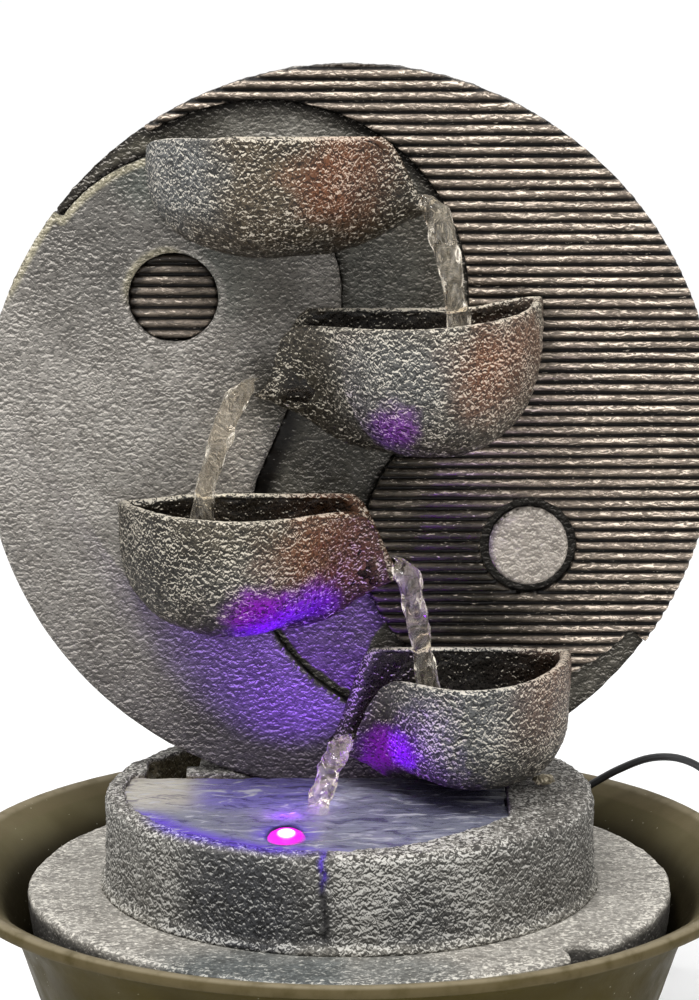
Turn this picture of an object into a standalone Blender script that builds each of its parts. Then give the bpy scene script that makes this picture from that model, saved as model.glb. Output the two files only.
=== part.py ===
"""Tiered bowl fountain: a stone-resin disc with four pouring bowls, standing in a plastic tub.

Metres, +Z up, the front faces -Y. The origin is on the floor under the centre of the tub.
"""

import math
import random

import bmesh
import bpy
from mathutils import Matrix, Vector

GAP = 0.0003                    # clearance between pieces that touch

# Tub
TUB_HEIGHT = 0.130
TUB_FOOT_R = 0.137
TUB_RIM_R = 0.203
TUB_TAPER = 0.334               # outward run of the wall for each metre of height
TUB_FLARE_HEIGHT = 0.090         # where the wall starts to curve out to the rim
TUB_WALL = 0.0035
TUB_FLOOR = 0.006
RIB_COUNT = 6                   # moulded ribs inside the tub that carry the slab

# Slab and pool drum
SLAB_LOW = 0.092
SLAB_TOP = 0.118
SLAB_R = 0.163
SLAB_HOLE_R = 0.100
DRUM_TOP = 0.166
DRUM_R = 0.1235
POOL_FLOOR = 0.138
PLINTH_FRONT = 0.022
PLINTH_BACK = 0.0655
DRAIN_ANGLE = math.radians(-46)
CABLE_ANGLE = math.radians(47)

# Round backdrop
DISC_R = 0.185
DISC_Z = 0.341
FACE_Y = 0.0238                 # front plane of the raised smooth half
CREST_Y = 0.0243                # crests of the ribbed half
CHANNEL_Y = 0.0330              # recessed band between the halves
SHELL_FRONT = 0.0365
SHELL_BACK = 0.0620
SHELL_PLATE = 0.0440            # back of the shell's plate, inside its raised rim
SHELL_RECESS_R = 0.175
RIB_PITCH = 0.0054
GROOVE_DEPTH = 0.0030
DOT_LEFT = (-0.0881, 0.0695)    # dot centres, from the disc centre
DOT_RIGHT = (0.0908, -0.0572)
DOT_RECESS_R = 0.0245

# Bowls: centre x, rim z, half width, reach, height, spout side, spout length, spout drop
BOWLS = {
    "bowl_first": (-0.0415, 0.493, 0.0590, 0.078, 0.0615, 1, 0.025, 0.035),
    "bowl_second": (0.0415, 0.406, 0.0552, 0.078, 0.0745, -1, 0.034, 0.039),
    "bowl_third": (-0.0595, 0.314, 0.0570, 0.080, 0.0725, 1, 0.031, 0.039),
    "bowl_fourth": (0.0625, 0.234, 0.0500, 0.086, 0.0672, -1, 0.024, 0.046),
}
# Their rims: fullness of the side, angle and spread of the fall to the mouth, then how far the whole rim,
# the far end, the far corner and the front are out of level
RIMS = {
    "bowl_first": (3.2, 0.25, 0.25, -0.002, 0.0, -0.005, 0.0035),
    "bowl_second": (3.3, 0.16, 0.16, 0.0, 0.004, 0.002, -0.001),
    "bowl_third": (3.6, 0.22, 0.16, -0.002, 0.0015, -0.005, 0.0),
    "bowl_fourth": (5.5, 0.32, 0.22, -0.0015, 0.002, -0.003, -0.0025),
}
BOWL_WALL = 0.0065
BOWL_STEPS = 20                 # steps round the front of a bowl, and across its back
BACK_STEPS = 7
BOWL_BACK = FACE_Y - GAP
SPOUT_ANGLE = 0.32              # radians of the rim, from the disc, that the mouth takes
SPOUT_SPREAD = 0.45
SPOUT_SHARPNESS = 3.0           # how soon below the rim the spout draws in
MOUTH_PINCH = 0.8               # how far the spout gives way to the round front
LOOP_BUNCHING = 1.35            # crowds a loop's points towards the mouth
CORNER_SPREAD = 0.35            # radians of the rim that the far corner takes
BACK_RISE = 0.30                # shares of a bowl's back over which its rim rises from the far end
BACK_FALL = 0.18                # and falls to the mouth

# Water line
OUTLET = (-0.062, 0.470)        # x and z of the outlet into the top bowl
HOSE_R = 0.0050
HOSE_BORE_R = 0.0038
HOSE_SPINE_Y = 0.0527            # depth of the hose in its channel
PUMP_X = -0.045
PUMP_Z = 0.034
PUMP_FRONT = 0.074
PUMP_BACK = 0.110
NIPPLE_TOP = 0.068
LAMP = (-0.031, -0.046)         # x and y of the lamp in the pool

# Cord
CORD_R = 0.0021
COIL_CENTRE = (0.118, 0.232)
COIL_MEAN_R = 0.024
COIL_HALF_WIDTH = 0.0086        # of the wound bundle, across
COIL_LOW = 0.0012               # the coil rests on its tie
COIL_HIGH = 0.0099

STONE = ((0.20, 0.20, 0.20), 0.85, 0.0)
TUB_PLASTIC = ((0.10, 0.09, 0.06), 0.55, 0.0)
BLACK_PLASTIC = ((0.03, 0.03, 0.03), 0.45, 0.0)
RUBBER = ((0.02, 0.02, 0.02), 0.7, 0.0)
CLEAR = ((0.75, 0.75, 0.78), 0.1, 0.0)
STEEL = ((0.6, 0.6, 0.6), 0.3, 1.0)
CERAMIC = ((0.85, 0.85, 0.82), 0.3, 0.0)
MAGNET = ((0.08, 0.08, 0.09), 0.5, 0.2)
COPPER = ((0.35, 0.16, 0.08), 0.5, 0.3)
PALE_STONE = ((0.60, 0.55, 0.45), 0.8, 0.0)
BOARD = ((0.9, 0.9, 0.9), 0.5, 0.0)


# ---------------------------------------------------------------- tools

def clear_scene():
    for item in list(bpy.data.objects):
        bpy.data.objects.remove(item, do_unlink=True)


def paint(item, look):
    colour, roughness, metallic = look
    material = bpy.data.materials.new(item.name + "_finish")
    material.use_nodes = True
    shader = material.node_tree.nodes["Principled BSDF"]
    shader.inputs["Base Color"].default_value = (*colour, 1)
    shader.inputs["Roughness"].default_value = roughness
    shader.inputs["Metallic"].default_value = metallic
    item.data.materials.append(material)


def add(name, mesh, look=None):
    """Link a mesh as a named piece, or as a hidden cutter when it has no look."""
    item = bpy.data.objects.new(name, mesh)
    bpy.context.scene.collection.objects.link(item)
    if look is None:
        item.hide_render = True
        item.display_type = "WIRE"
    else:
        paint(item, look)
        mesh.shade_smooth()
        mesh.set_sharp_from_angle(angle=math.radians(35))
    return item


def closed_mesh(name, corners, faces):
    mesh = bpy.data.meshes.new(name)
    mesh.from_pydata([tuple(c) for c in corners], [], faces)
    shape = bmesh.new()
    shape.from_mesh(mesh)
    bmesh.ops.recalc_face_normals(shape, faces=shape.faces)
    shape.to_mesh(mesh)
    shape.free()
    return mesh


def loft(name, loops, look=None, closed=False):
    """Join equal loops of points in order; the ends are capped unless the row of loops closes."""
    count = len(loops[0])
    corners = [point for loop in loops for point in loop]
    faces = []
    for row in range(len(loops) if closed else len(loops) - 1):
        low = row * count
        high = (row + 1) % len(loops) * count
        for k in range(count):
            after = (k + 1) % count
            faces.append((low + k, low + after, high + after, high + k))
    if not closed:
        faces.append(tuple(range(count)))
        faces.append(tuple(range(len(corners) - count, len(corners))))
    return add(name, closed_mesh(name, corners, faces), look)


def frame_for(axis):
    """Matrix that takes +Z to the given direction."""
    return Vector((0, 0, 1)).rotation_difference(Vector(axis)).to_matrix()


def turned(name, profile, at=(0, 0, 0), axis=(0, 0, 1), look=None, steps=32):
    """Turn (radius, height) points about an axis; a profile that starts off the axis makes a ring."""
    turn = frame_for(axis)
    solid = profile[0][0] == 0
    loops = []
    for radius, height in profile[1:-1] if solid else profile:
        loop = []
        for k in range(steps):
            angle = 2 * math.pi * k / steps
            spot = Vector((radius * math.cos(angle), radius * math.sin(angle), height))
            loop.append(Vector(at) + turn @ spot)
        loops.append(loop)
    return loft(name, loops, look, closed=not solid)


def rod(name, radius, low, high, at=(0, 0, 0), axis=(0, 0, 1), look=None, steps=24):
    return turned(name, [(0, low), (radius, low), (radius, high), (0, high)], at, axis, look, steps)


def tube_ring(name, inner, outer, low, high, at=(0, 0, 0), axis=(0, 0, 1), look=None, steps=24):
    profile = [(inner, low), (outer, low), (outer, high), (inner, high)]
    return turned(name, profile, at, axis, look, steps)


def block(name, low, high, look=None, bevel=0.0):
    """Box between two corners, with its edges rounded when a bevel is given."""
    x0, y0, z0 = low
    x1, y1, z1 = high
    bottom = [(x0, y0, z0), (x1, y0, z0), (x1, y1, z0), (x0, y1, z0)]
    top = [(x, y, z1) for x, y, _ in bottom]
    item = loft(name, [bottom, top], look)
    if bevel:
        round_off = item.modifiers.new("round", "BEVEL")
        round_off.width = bevel
        round_off.segments = 2
    return item


def slab_y(name, outline, front, back, look=None):
    """Extrude an (x, z) outline, given from the disc centre, along Y."""
    loops = [[(x, y, DISC_Z + z) for x, z in outline] for y in (front, back)]
    return loft(name, loops, look)


def slab_z(name, outline, low, high, look=None):
    loops = [[(x, y, z) for x, y in outline] for z in (low, high)]
    return loft(name, loops, look)


def combine(item, tool, operation):
    step = item.modifiers.new(operation.lower(), "BOOLEAN")
    step.operation = operation
    step.solver = "EXACT"
    step.object = tool
    tool.hide_render = True
    tool.display_type = "WIRE"
    return item


def cut(item, tool):
    return combine(item, tool, "DIFFERENCE")


def join(item, tool):
    return combine(item, tool, "UNION")


def on_circle(radius, angle, centre=(0.0, 0.0)):
    return (centre[0] + radius * math.cos(angle), centre[1] + radius * math.sin(angle))


def smoothstep(value):
    value = min(1.0, max(0.0, value))
    return value * value * (3 - 2 * value)


def smooth_route(route, spacing):
    """Catmull-Rom curve through hand-placed points, sampled at an even spacing."""
    knots = [Vector(p) for p in route]
    knots = [2 * knots[0] - knots[1]] + knots + [2 * knots[-1] - knots[-2]]
    fine = []
    for a, b, c, d in zip(knots, knots[1:], knots[2:], knots[3:]):
        for k in range(24):
            t = k / 24
            fine.append(0.5 * (2 * b + (c - a) * t + (2 * a - 5 * b + 4 * c - d) * t * t
                               + (3 * b - a - 3 * c + d) * t * t * t))
    fine.append(knots[-2])
    total = sum((q - p).length for p, q in zip(fine, fine[1:]))
    wanted = max(2, round(total / spacing))
    points = [fine[0]]
    walked = 0.0
    for p, q in zip(fine, fine[1:]):
        step = (q - p).length
        while len(points) < wanted and walked + step >= total * len(points) / wanted:
            part = (total * len(points) / wanted - walked) / step
            points.append(p.lerp(q, part))
        walked += step
    points.append(fine[-1])
    return points


def cable(name, route, radius, look, spacing=None, sides=2):
    """Round cable or hose along a smooth route, with filled ends."""
    points = smooth_route(route, spacing or radius * 5)
    curve = bpy.data.curves.new(name, "CURVE")
    curve.dimensions = "3D"
    curve.bevel_depth = radius
    curve.bevel_resolution = sides
    curve.use_fill_caps = True
    spline = curve.splines.new("POLY")
    spline.points.add(len(points) - 1)
    for knot, spot in zip(spline.points, points):
        knot.co = (*spot, 1)
    item = bpy.data.objects.new(name, curve)
    bpy.context.scene.collection.objects.link(item)
    paint(item, look)
    return item


# ---------------------------------------------------------------- tub, slab and drum

def tub_wall_r(height):
    """Outside radius of the tapered wall at a height."""
    return TUB_FOOT_R + TUB_TAPER * height


def make_tub():
    flare = TUB_FLARE_HEIGHT
    profile = [
        (0, 0), (TUB_FOOT_R - 0.002, 0), (TUB_FOOT_R, 0.002), (tub_wall_r(flare), flare),
        (TUB_RIM_R - 0.0265, TUB_HEIGHT - 0.0205), (TUB_RIM_R - 0.0165, TUB_HEIGHT - 0.0100),
        (TUB_RIM_R - 0.0060, TUB_HEIGHT - 0.0060), (TUB_RIM_R - 0.0015, TUB_HEIGHT - 0.0060),
        (TUB_RIM_R, TUB_HEIGHT - 0.0045), (TUB_RIM_R, TUB_HEIGHT - 0.0020), (TUB_RIM_R - 0.0020, TUB_HEIGHT),
        (TUB_RIM_R - 0.0090, TUB_HEIGHT - 0.0012), (TUB_RIM_R - 0.0190, TUB_HEIGHT - 0.0065),
        (TUB_RIM_R - 0.0290, TUB_HEIGHT - 0.0175), (tub_wall_r(flare) - TUB_WALL, flare),
        (tub_wall_r(0.010) - TUB_WALL, 0.010), (tub_wall_r(0) - TUB_WALL - 0.004, TUB_FLOOR), (0, TUB_FLOOR),
    ]
    tub = turned("tub", profile, look=TUB_PLASTIC, steps=60)
    rib_top = SLAB_LOW - GAP
    inside = tub_wall_r(rib_top) - TUB_WALL / 2
    foot = tub_wall_r(TUB_FLOOR) - TUB_WALL / 2
    side = [(inside - 0.017, rib_top), (inside, rib_top), (foot, TUB_FLOOR - 0.001),
            (foot - 0.012, TUB_FLOOR - 0.001)]
    for k in range(RIB_COUNT):
        turn = Matrix.Rotation(math.radians(30 + 360 / RIB_COUNT * k), 3, "Z")
        loops = [[turn @ Vector((r, across, z)) for r, z in side] for across in (-0.002, 0.002)]
        join(tub, loft(f"tub_rib_{k + 1}", loops))


def notch(angle, width, depth):
    """Radial box that takes a notch out of the slab's edge."""
    turn = Matrix.Rotation(angle, 3, "Z")
    outline = [(SLAB_R - depth, -width / 2), (SLAB_R + 0.01, -width / 2),
               (SLAB_R + 0.01, width / 2), (SLAB_R - depth, width / 2)]
    loops = [[turn @ Vector((r, across, z)) for r, across in outline]
             for z in (SLAB_LOW - 0.01, SLAB_TOP + 0.01)]
    return loft("slab_notch", loops)


def make_slab():
    profile = [
        (SLAB_HOLE_R, SLAB_LOW), (SLAB_R - 0.004, SLAB_LOW), (SLAB_R, SLAB_LOW + 0.020),
        (SLAB_R - 0.0008, SLAB_TOP - 0.003), (SLAB_R - 0.004, SLAB_TOP), (SLAB_HOLE_R, SLAB_TOP),
    ]
    slab = turned("base_slab", profile, look=STONE, steps=64)
    cut(slab, notch(DRAIN_ANGLE, 0.018, 0.012))
    cut(slab, notch(CABLE_ANGLE, 0.016, 0.017))


def pool_outline():
    """Inner edge of the pool: a round wall that thickens towards the right under the lowest bowl."""
    points = []
    for degrees in range(182, 347, 11):
        radius = 0.1135 - 0.018 * smoothstep((degrees - 255) / 60) - 0.017 * smoothstep((degrees - 322) / 25)
        points.append(on_circle(radius, math.radians(degrees)))
    return points + [(0.080, PLINTH_FRONT - GAP), (-0.111, PLINTH_FRONT - GAP)]


def rear_outline():
    """Chamber behind the backdrop, which the hose comes up through."""
    back = [on_circle(0.1115, math.radians(degrees)) for degrees in range(40, 161, 10)]
    return [(-0.078, PLINTH_FRONT + 0.014), (-0.078, PLINTH_BACK), (0.085, PLINTH_BACK)] + back


def make_drum():
    low = SLAB_TOP + GAP
    profile = [
        (0, low), (DRUM_R + 0.0045, low), (DRUM_R + 0.0015, low + 0.0025), (DRUM_R + 0.0005, low + 0.0065),
        (DRUM_R, DRUM_TOP - 0.003), (DRUM_R - 0.003, DRUM_TOP), (0, DRUM_TOP),
    ]
    drum = turned("pool_drum", profile, look=STONE, steps=64)
    saddle_r = DISC_R + GAP
    step = block("plinth_step", (-0.078, PLINTH_FRONT, POOL_FLOOR - 0.01), (0.085, PLINTH_BACK, DRUM_TOP - 0.001))
    join(drum, step)
    cut(drum, slab_z("pool_pocket", pool_outline(), POOL_FLOOR, DRUM_TOP + 0.02))
    cut(drum, slab_z("rear_pocket", rear_outline(), POOL_FLOOR, DRUM_TOP + 0.02))
    cut(drum, block("hose_way", (-0.064, 0.068, low - 0.01), (0.048, 0.098, DRUM_TOP)))
    cut(drum, block("weir", (-0.104, PLINTH_FRONT - 0.01, 0.158), (-0.084, PLINTH_FRONT + 0.03, DRUM_TOP + 0.02)))
    cut(drum, rod("drum_hollow", SLAB_HOLE_R - 0.002, low - 0.01, POOL_FLOOR - 0.008, steps=48))
    cut(drum, rod("saddle", saddle_r, -0.07, 0.01, (0, 0, DISC_Z), (0, -1, 0), steps=72))
    cut(drum, rod("lamp_duct", 0.0020, -0.067, 0.0, (-0.020, 0, POOL_FLOOR + 0.0030), (0, -1, 0), steps=12))


# ---------------------------------------------------------------- backdrop

def head_r(degrees, grow):
    """Radius of a half's round head about its dot, at an angle from the spot nearest the other half."""
    return 0.076 + 0.008 * math.cos(math.radians(degrees * 1.3)) + grow


def tail_r(degrees, grow):
    """Radius of the long sweep about the other half's dot."""
    return 0.148 - 0.072 * smoothstep(degrees / 122) + grow


def smooth_edge(grow=0.0):
    """Edge of the smooth half, from the disc's upper left to its lower right."""
    head = [on_circle(head_r(a, grow), math.radians(a), DOT_LEFT) for a in range(144, -50, -9)]
    tail = [on_circle(tail_r(a, -0.006 - grow), math.radians(a + 180), DOT_RIGHT) for a in range(-14, 100, 8)]
    return head + tail


def ribbed_edge(grow=0.0):
    """Edge of the ribbed half, from the disc's upper left to its lower right."""
    tail = [on_circle(tail_r(a, -grow), math.radians(a), DOT_LEFT) for a in range(98, -30, -8)]
    head = [on_circle(head_r(a, grow), math.radians(a + 180), DOT_RIGHT) for a in range(-40, 148, 9)]
    return tail + head


def rim_angle(point):
    return math.degrees(math.atan2(point[1], point[0]))


def rim_arc(start, end, clockwise):
    """Points of the disc's rim between two angles, both left out."""
    if clockwise and end > start:
        end -= 360
    if not clockwise and end < start:
        end += 360
    count = max(2, round(abs(end - start) / 6))
    return [on_circle(DISC_R, math.radians(start + (end - start) * k / count)) for k in range(1, count)]


def within_disc(points, turn=0.0):
    """Drop the points outside the disc and end the line on its rim, turned inwards by some degrees."""
    kept = [p for p in points if math.hypot(*p) < DISC_R - 0.001]
    first = on_circle(DISC_R, math.radians(rim_angle(kept[0]) + turn))
    last = on_circle(DISC_R, math.radians(rim_angle(kept[-1]) - turn))
    return [first] + kept + [last]


def hose_hole():
    return rod("outlet_hole", 0.0060, -0.07, 0.02, (OUTLET[0], 0, OUTLET[1]), (0, -1, 0), steps=20)


def dot_hole(name, dot, radius, front):
    """Blind round recess in a half of the backdrop."""
    back = CHANNEL_Y - 0.001
    return rod(name, radius, -back, -front + 0.01, (dot[0], 0, DISC_Z + dot[1]), (0, -1, 0), steps=32)


def make_smooth_half():
    edge = within_disc(smooth_edge())
    outline = edge + rim_arc(rim_angle(edge[-1]), rim_angle(edge[0]), clockwise=True)
    half = slab_y("smooth_panel", outline, FACE_Y, SHELL_FRONT - GAP, STONE)
    cut(half, dot_hole("ribbed_dot_recess", DOT_LEFT, DOT_RECESS_R - 0.002, FACE_Y))
    cut(half, hose_hole())


def rib_comb(name, low, high, half_width, centre_x, look=None):
    """Slab whose front is a row of level ribs."""
    count = int((high - low) / RIB_PITCH)
    profile = [(SHELL_FRONT - GAP, high), (SHELL_FRONT - GAP, low)]
    for k in range(count):
        start = low + k * RIB_PITCH
        profile.append((CREST_Y + GROOVE_DEPTH, start))
        profile.append((CREST_Y, start + 0.0010))
        profile.append((CREST_Y, start + RIB_PITCH - 0.0010))
    profile.append((CREST_Y + GROOVE_DEPTH, low + count * RIB_PITCH))
    profile.append((CREST_Y + GROOVE_DEPTH, high))
    loops = [[(x, y, z) for y, z in profile] for x in (centre_x - half_width, centre_x + half_width)]
    return loft(name, loops, look)


def make_ribbed_half():
    edge = within_disc(ribbed_edge())
    outline = edge + rim_arc(rim_angle(edge[-1]), rim_angle(edge[0]), clockwise=False)
    half = slab_y("ribbed_panel", outline, CREST_Y - 0.002, SHELL_FRONT - GAP, STONE)
    comb = rib_comb("rib_comb", 0.1950, DISC_Z + DISC_R + 0.004, DISC_R + 0.01, 0.0)
    combine(half, comb, "INTERSECT")
    cut(half, dot_hole("smooth_dot_recess", DOT_RIGHT, DOT_RECESS_R, CREST_Y))


def make_channel():
    smooth = within_disc(smooth_edge(2 * GAP), -0.4)
    ribbed = within_disc(ribbed_edge(2 * GAP), 0.4)
    outline = smooth + rim_arc(rim_angle(smooth[-1]), rim_angle(ribbed[-1]), clockwise=False)
    outline += list(reversed(ribbed)) + rim_arc(rim_angle(ribbed[0]), rim_angle(smooth[0]), clockwise=False)
    slab_y("stone_channel", outline, CHANNEL_Y, SHELL_FRONT - GAP, STONE)


def make_dots():
    back = CHANNEL_Y - 0.001 - GAP
    radius = DOT_RECESS_R - 0.002 - GAP
    x, z = DOT_LEFT[0], DISC_Z + DOT_LEFT[1]
    ribbed = rod("ribbed_dot", radius, -back, -CREST_Y - 0.001, (x, 0, z), (0, -1, 0), STONE, 32)
    grooves = []
    for k in range(-4, 5):
        height = z + k * RIB_PITCH
        loops = [[(end, CREST_Y, height - 0.001), (end, CREST_Y, height + 0.001),
                  (end, CREST_Y + 0.0035, height)] for end in (x - 0.04, x + 0.04)]
        grooves.append(loft(f"dot_groove_{k + 5}", loops))
    for groove in grooves:
        cut(ribbed, groove)
    x, z = DOT_RIGHT[0], DISC_Z + DOT_RIGHT[1]
    profile = [(0, -back), (0.0200, -back), (0.0200, -FACE_Y - 0.002), (0.0185, -FACE_Y),
               (0.0100, -FACE_Y + 0.001), (0, -FACE_Y + 0.001)]
    turned("smooth_dot", profile, (x, 0, z), (0, -1, 0), STONE, 32)


def make_shell():
    shell = rod("backdrop_shell", DISC_R, -SHELL_BACK, -SHELL_FRONT, (0, 0, DISC_Z), (0, -1, 0), STONE, 64)
    x = OUTLET[0]
    cut(shell, rod("back_recess", SHELL_RECESS_R, -0.08, -SHELL_PLATE, (0, 0, DISC_Z), (0, -1, 0), steps=64))
    join(shell, block("channel_walls", (x - 0.031, SHELL_PLATE - 0.001, 0.200), (x + 0.031, 0.0605, 0.4880)))
    cut(shell, block("hose_channel", (x - 0.022, SHELL_PLATE, 0.188), (x + 0.022, 0.08, 0.484)))
    cut(shell, block("cover_rebate", (x - 0.028, 0.0580, 0.2445), (x + 0.028, 0.08, 0.4865)))
    cut(shell, hose_hole())
    low, high = 0.2450, 0.4860
    cover = block("rear_cover", (x - 0.0275, 0.0583, low), (x + 0.0275, 0.0603, high), BLACK_PLASTIC)
    for k, height in enumerate((low + 0.012, high - 0.012)):
        for side in (-1, 1):
            spot = (x + side * 0.0248, 0, height)
            number = 2 * k + (side + 1) // 2 + 1
            cut(cover, rod(f"screw_way_{number}", 0.0013, -0.07, -0.055, spot, (0, -1, 0), steps=12))
            cut(shell, rod(f"screw_hole_{number}", 0.0013, -0.07, -0.0480, spot, (0, -1, 0), steps=12))
            head = [(0, -0.0622), (0.0015, -0.0622), (0.0023, -0.0616), (0.0023, -0.0606),
                    (0.0010, -0.0606), (0.0010, -0.0500), (0, -0.0500)]
            turned(f"rear_cover_screw_{number}", head, spot, (0, -1, 0), STEEL, 12)


# ---------------------------------------------------------------- bowls

def fall_off(angle, start, spread):
    """1 up to an angle from the mouth, falling away past it."""
    return math.exp(-((max(angle, start) - start) / spread) ** 2)


def bowl_loop(name, depth, inset, back):
    """One level of a bowl: a half ellipse in front of the disc, closed by a straight back."""
    centre, rim, half, reach, height, side, length, drop = BOWLS[name]
    fullness, fall_start, fall_spread, whole, far_end, far_corner, front = RIMS[name]
    floor = rim - height + inset
    shrink = math.sqrt(1 - depth ** fullness)
    loop = []
    for k in range(BOWL_STEPS + 1):
        angle = math.pi * (k / BOWL_STEPS) ** LOOP_BUNCHING
        weight = fall_off(angle, SPOUT_ANGLE, SPOUT_SPREAD) * (1 - MOUTH_PINCH * math.sin(angle))
        x = shrink * (half - inset) * math.cos(angle) + weight * length * (1 - depth) ** SPOUT_SHARPNESS
        y = back - (shrink * (reach - inset) - (BOWL_BACK - back)) * math.sin(angle)
        top = rim + whole - drop * fall_off(angle, fall_start, fall_spread) - far_end * math.cos(angle)
        top += front * math.sin(angle) + far_corner * fall_off(math.pi - angle, 0, CORNER_SPREAD)
        z = floor + (1 - depth) * (top - floor)
        loop.append((centre + side * x, y, z))
    far, near = loop[BOWL_STEPS], loop[0]
    for k in range(1, BACK_STEPS):
        part = k / BACK_STEPS
        weight = smoothstep((1 - part) / BACK_FALL)
        level = far[2] + (1 - depth) * (rim + whole - far[2]) * smoothstep(part / BACK_RISE)
        loop.append((far[0] + (near[0] - far[0]) * part, back, near[2] + (level - near[2]) * weight))
    return loop


def make_bowl(name):
    outside = [bowl_loop(name, depth, 0.0, BOWL_BACK) for depth in (0.97, 0.9, 0.76, 0.55, 0.32, 0.15, 0.05, 0.0)]
    inside = [bowl_loop(name, depth, BOWL_WALL, BOWL_BACK - BOWL_WALL)
              for depth in (0.0, 0.1, 0.3, 0.55, 0.78, 0.94)]
    bowl = loft(name, outside + inside, STONE)
    if name == "bowl_first":
        cut(bowl, hose_hole())


# ---------------------------------------------------------------- water line

def make_hose():
    """Hollow hose from the pump's outlet up the back of the disc."""
    x, z = OUTLET
    spine = HOSE_SPINE_Y
    route = [(PUMP_X, 0.066, NIPPLE_TOP - 0.010), (PUMP_X, 0.0665, 0.090), (PUMP_X - 0.001, 0.0745, 0.118),
             (PUMP_X - 0.003, 0.0790, 0.145), (PUMP_X - 0.009, 0.0765, 0.170), (x + 0.003, 0.0700, 0.189),
             (x + 0.001, 0.0612, 0.207), (x, 0.0550, 0.223), (x, spine, 0.240), (x, spine, 0.32),
             (x, spine, z - 0.014)]
    points = smooth_route(route, 0.017)
    outside, inside = [], []
    side = Vector((1, 0, 0))
    for k, spot in enumerate(points):
        along = (points[min(k + 1, len(points) - 1)] - points[max(k - 1, 0)]).normalized()
        side = (side - along * side.dot(along)).normalized()
        other = along.cross(side)
        turns = [2 * math.pi * n / 10 for n in range(10)]
        outside.append([spot + HOSE_R * (side * math.cos(a) + other * math.sin(a)) for a in turns])
        inside.append([spot + HOSE_BORE_R * (side * math.cos(a) + other * math.sin(a)) for a in turns])
    loft("water_hose", outside + inside[::-1], CLEAR, closed=True)


def make_elbow():
    """Right-angle outlet: a barb down into the hose and a nozzle forward into the top bowl."""
    x, z = OUTLET
    spine = HOSE_SPINE_Y
    elbow = rod("outlet_elbow", 0.0052, -0.0570, -0.0120, (x, 0, z), (0, -1, 0), BLACK_PLASTIC, 20)
    join(elbow, rod("elbow_barb", 0.0033, z - 0.021, z, (x, spine, 0), steps=16))
    join(elbow, rod("elbow_collar", 0.0050, z - 0.0135, z, (x, spine, 0), steps=20))
    cut(elbow, rod("elbow_bore", 0.0022, -spine, -0.0100, (x, 0, z), (0, -1, 0), steps=12))
    cut(elbow, rod("elbow_drop", 0.0022, z - 0.030, z, (x, spine, 0), steps=12))


def make_hose_clips():
    """Saddle clips that hold the hose in its channel."""
    for number, height in enumerate((0.262, 0.400), start=1):
        x = OUTLET[0]
        clip = block(f"hose_clip_{number}", (x - 0.0095, 0.0443, height), (x + 0.0095, 0.0565, height + 0.008),
                     BLACK_PLASTIC)
        cut(clip, rod("clip_way", HOSE_R + GAP, height - 0.01, height + 0.02, (x, HOSE_SPINE_Y, 0), steps=20))
        cut(clip, block("clip_mouth", (x - 0.0040, HOSE_SPINE_Y, height - 0.01), (x + 0.0040, 0.07, height + 0.02)))


def make_lamp():
    x, y = LAMP
    low = POOL_FLOOR + GAP
    cup = [(0, low), (0.0095, low), (0.0095, low + 0.011), (0.0078, low + 0.011), (0.0078, low + 0.003), (0, low + 0.003)]
    cup = turned("lamp_housing", cup, (x, y, 0), look=BLACK_PLASTIC, steps=24)
    cut(cup, rod("lamp_gland_way", 0.0017, 0.0060, 0.0200, (x, y, low + 0.0048), (0, 1, 0), steps=12))
    rod("lamp_board", 0.0070, low + 0.0070, low + 0.0082, (x, y, 0), look=BOARD)
    turned("lamp_chip", [(0, low + 0.0085), (0.0018, low + 0.0085), (0.0018, low + 0.0098),
                         (0.0010, low + 0.0105), (0, low + 0.0105)], (x, y, 0), look=PALE_STONE, steps=12)
    tube_ring("lamp_seal", 0.0071, 0.0092, low + 0.0113, low + 0.0125, (x, y, 0), look=RUBBER, steps=16)
    dome = [(0.0060, low + 0.0128), (0.0094, low + 0.0128), (0.0094, low + 0.0140), (0.0080, low + 0.0160),
            (0.0050, low + 0.0176), (0.0015, low + 0.0182), (0, low + 0.0182)]
    lens = [(0, low + 0.0128)] + dome[1:]
    turned("lamp_lens", lens, (x, y, 0), look=CLEAR, steps=24)
    duct = POOL_FLOOR + 0.0030
    route = [(x, y + 0.0065, low + 0.0048), (x + 0.0005, y + 0.022, duct + 0.0003), (x + 0.007, y + 0.050, duct),
             (-0.020, 0.014, duct), (-0.020, 0.040, duct), (-0.020, 0.067, duct), (-0.020, 0.0815, 0.134),
             (-0.020, 0.0835, 0.115), (-0.020, 0.0835, 0.101)]
    cable("lamp_lead", route, 0.0013, RUBBER, 0.011)
    plug = block("lamp_plug", (-0.0235, 0.0800, 0.0880), (-0.0165, 0.0870, 0.1007), BLACK_PLASTIC, 0.001)
    cut(plug, block("lamp_plug_mouth", (-0.0215, 0.0820, 0.0850), (-0.0185, 0.0850, 0.0960)))


def make_pebbles():
    """Loose stones in the hollow beside the backdrop, and a chip on the drum's right ledge."""
    shapes = {
        "pebble_first": ((-0.0892, 0.0460, 0.1462), (0.0085, 0.0080, 0.0075), 3),
        "pebble_second": ((-0.0850, 0.0617, 0.1442), (0.0052, 0.0060, 0.0052), 5),
        "pebble_third": ((-0.0725, 0.0770, 0.1440), (0.0050, 0.0048, 0.0050), 8),
        "pebble_chip": ((0.0980, -0.0020, 0.1693), (0.0060, 0.0045, 0.0028), 11),
    }
    for name, (spot, size, seed) in shapes.items():
        rough = random.Random(seed)
        shape = bmesh.new()
        bmesh.ops.create_icosphere(shape, subdivisions=2, radius=1.0)
        for corner in shape.verts:
            corner.co *= 0.90 + 0.10 * rough.random()
            corner.co = Vector((corner.co.x * size[0], corner.co.y * size[1], corner.co.z * size[2]))
            corner.co += Vector(spot)
        mesh = bpy.data.meshes.new(name)
        shape.to_mesh(mesh)
        shape.free()
        add(name, mesh, PALE_STONE)


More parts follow.
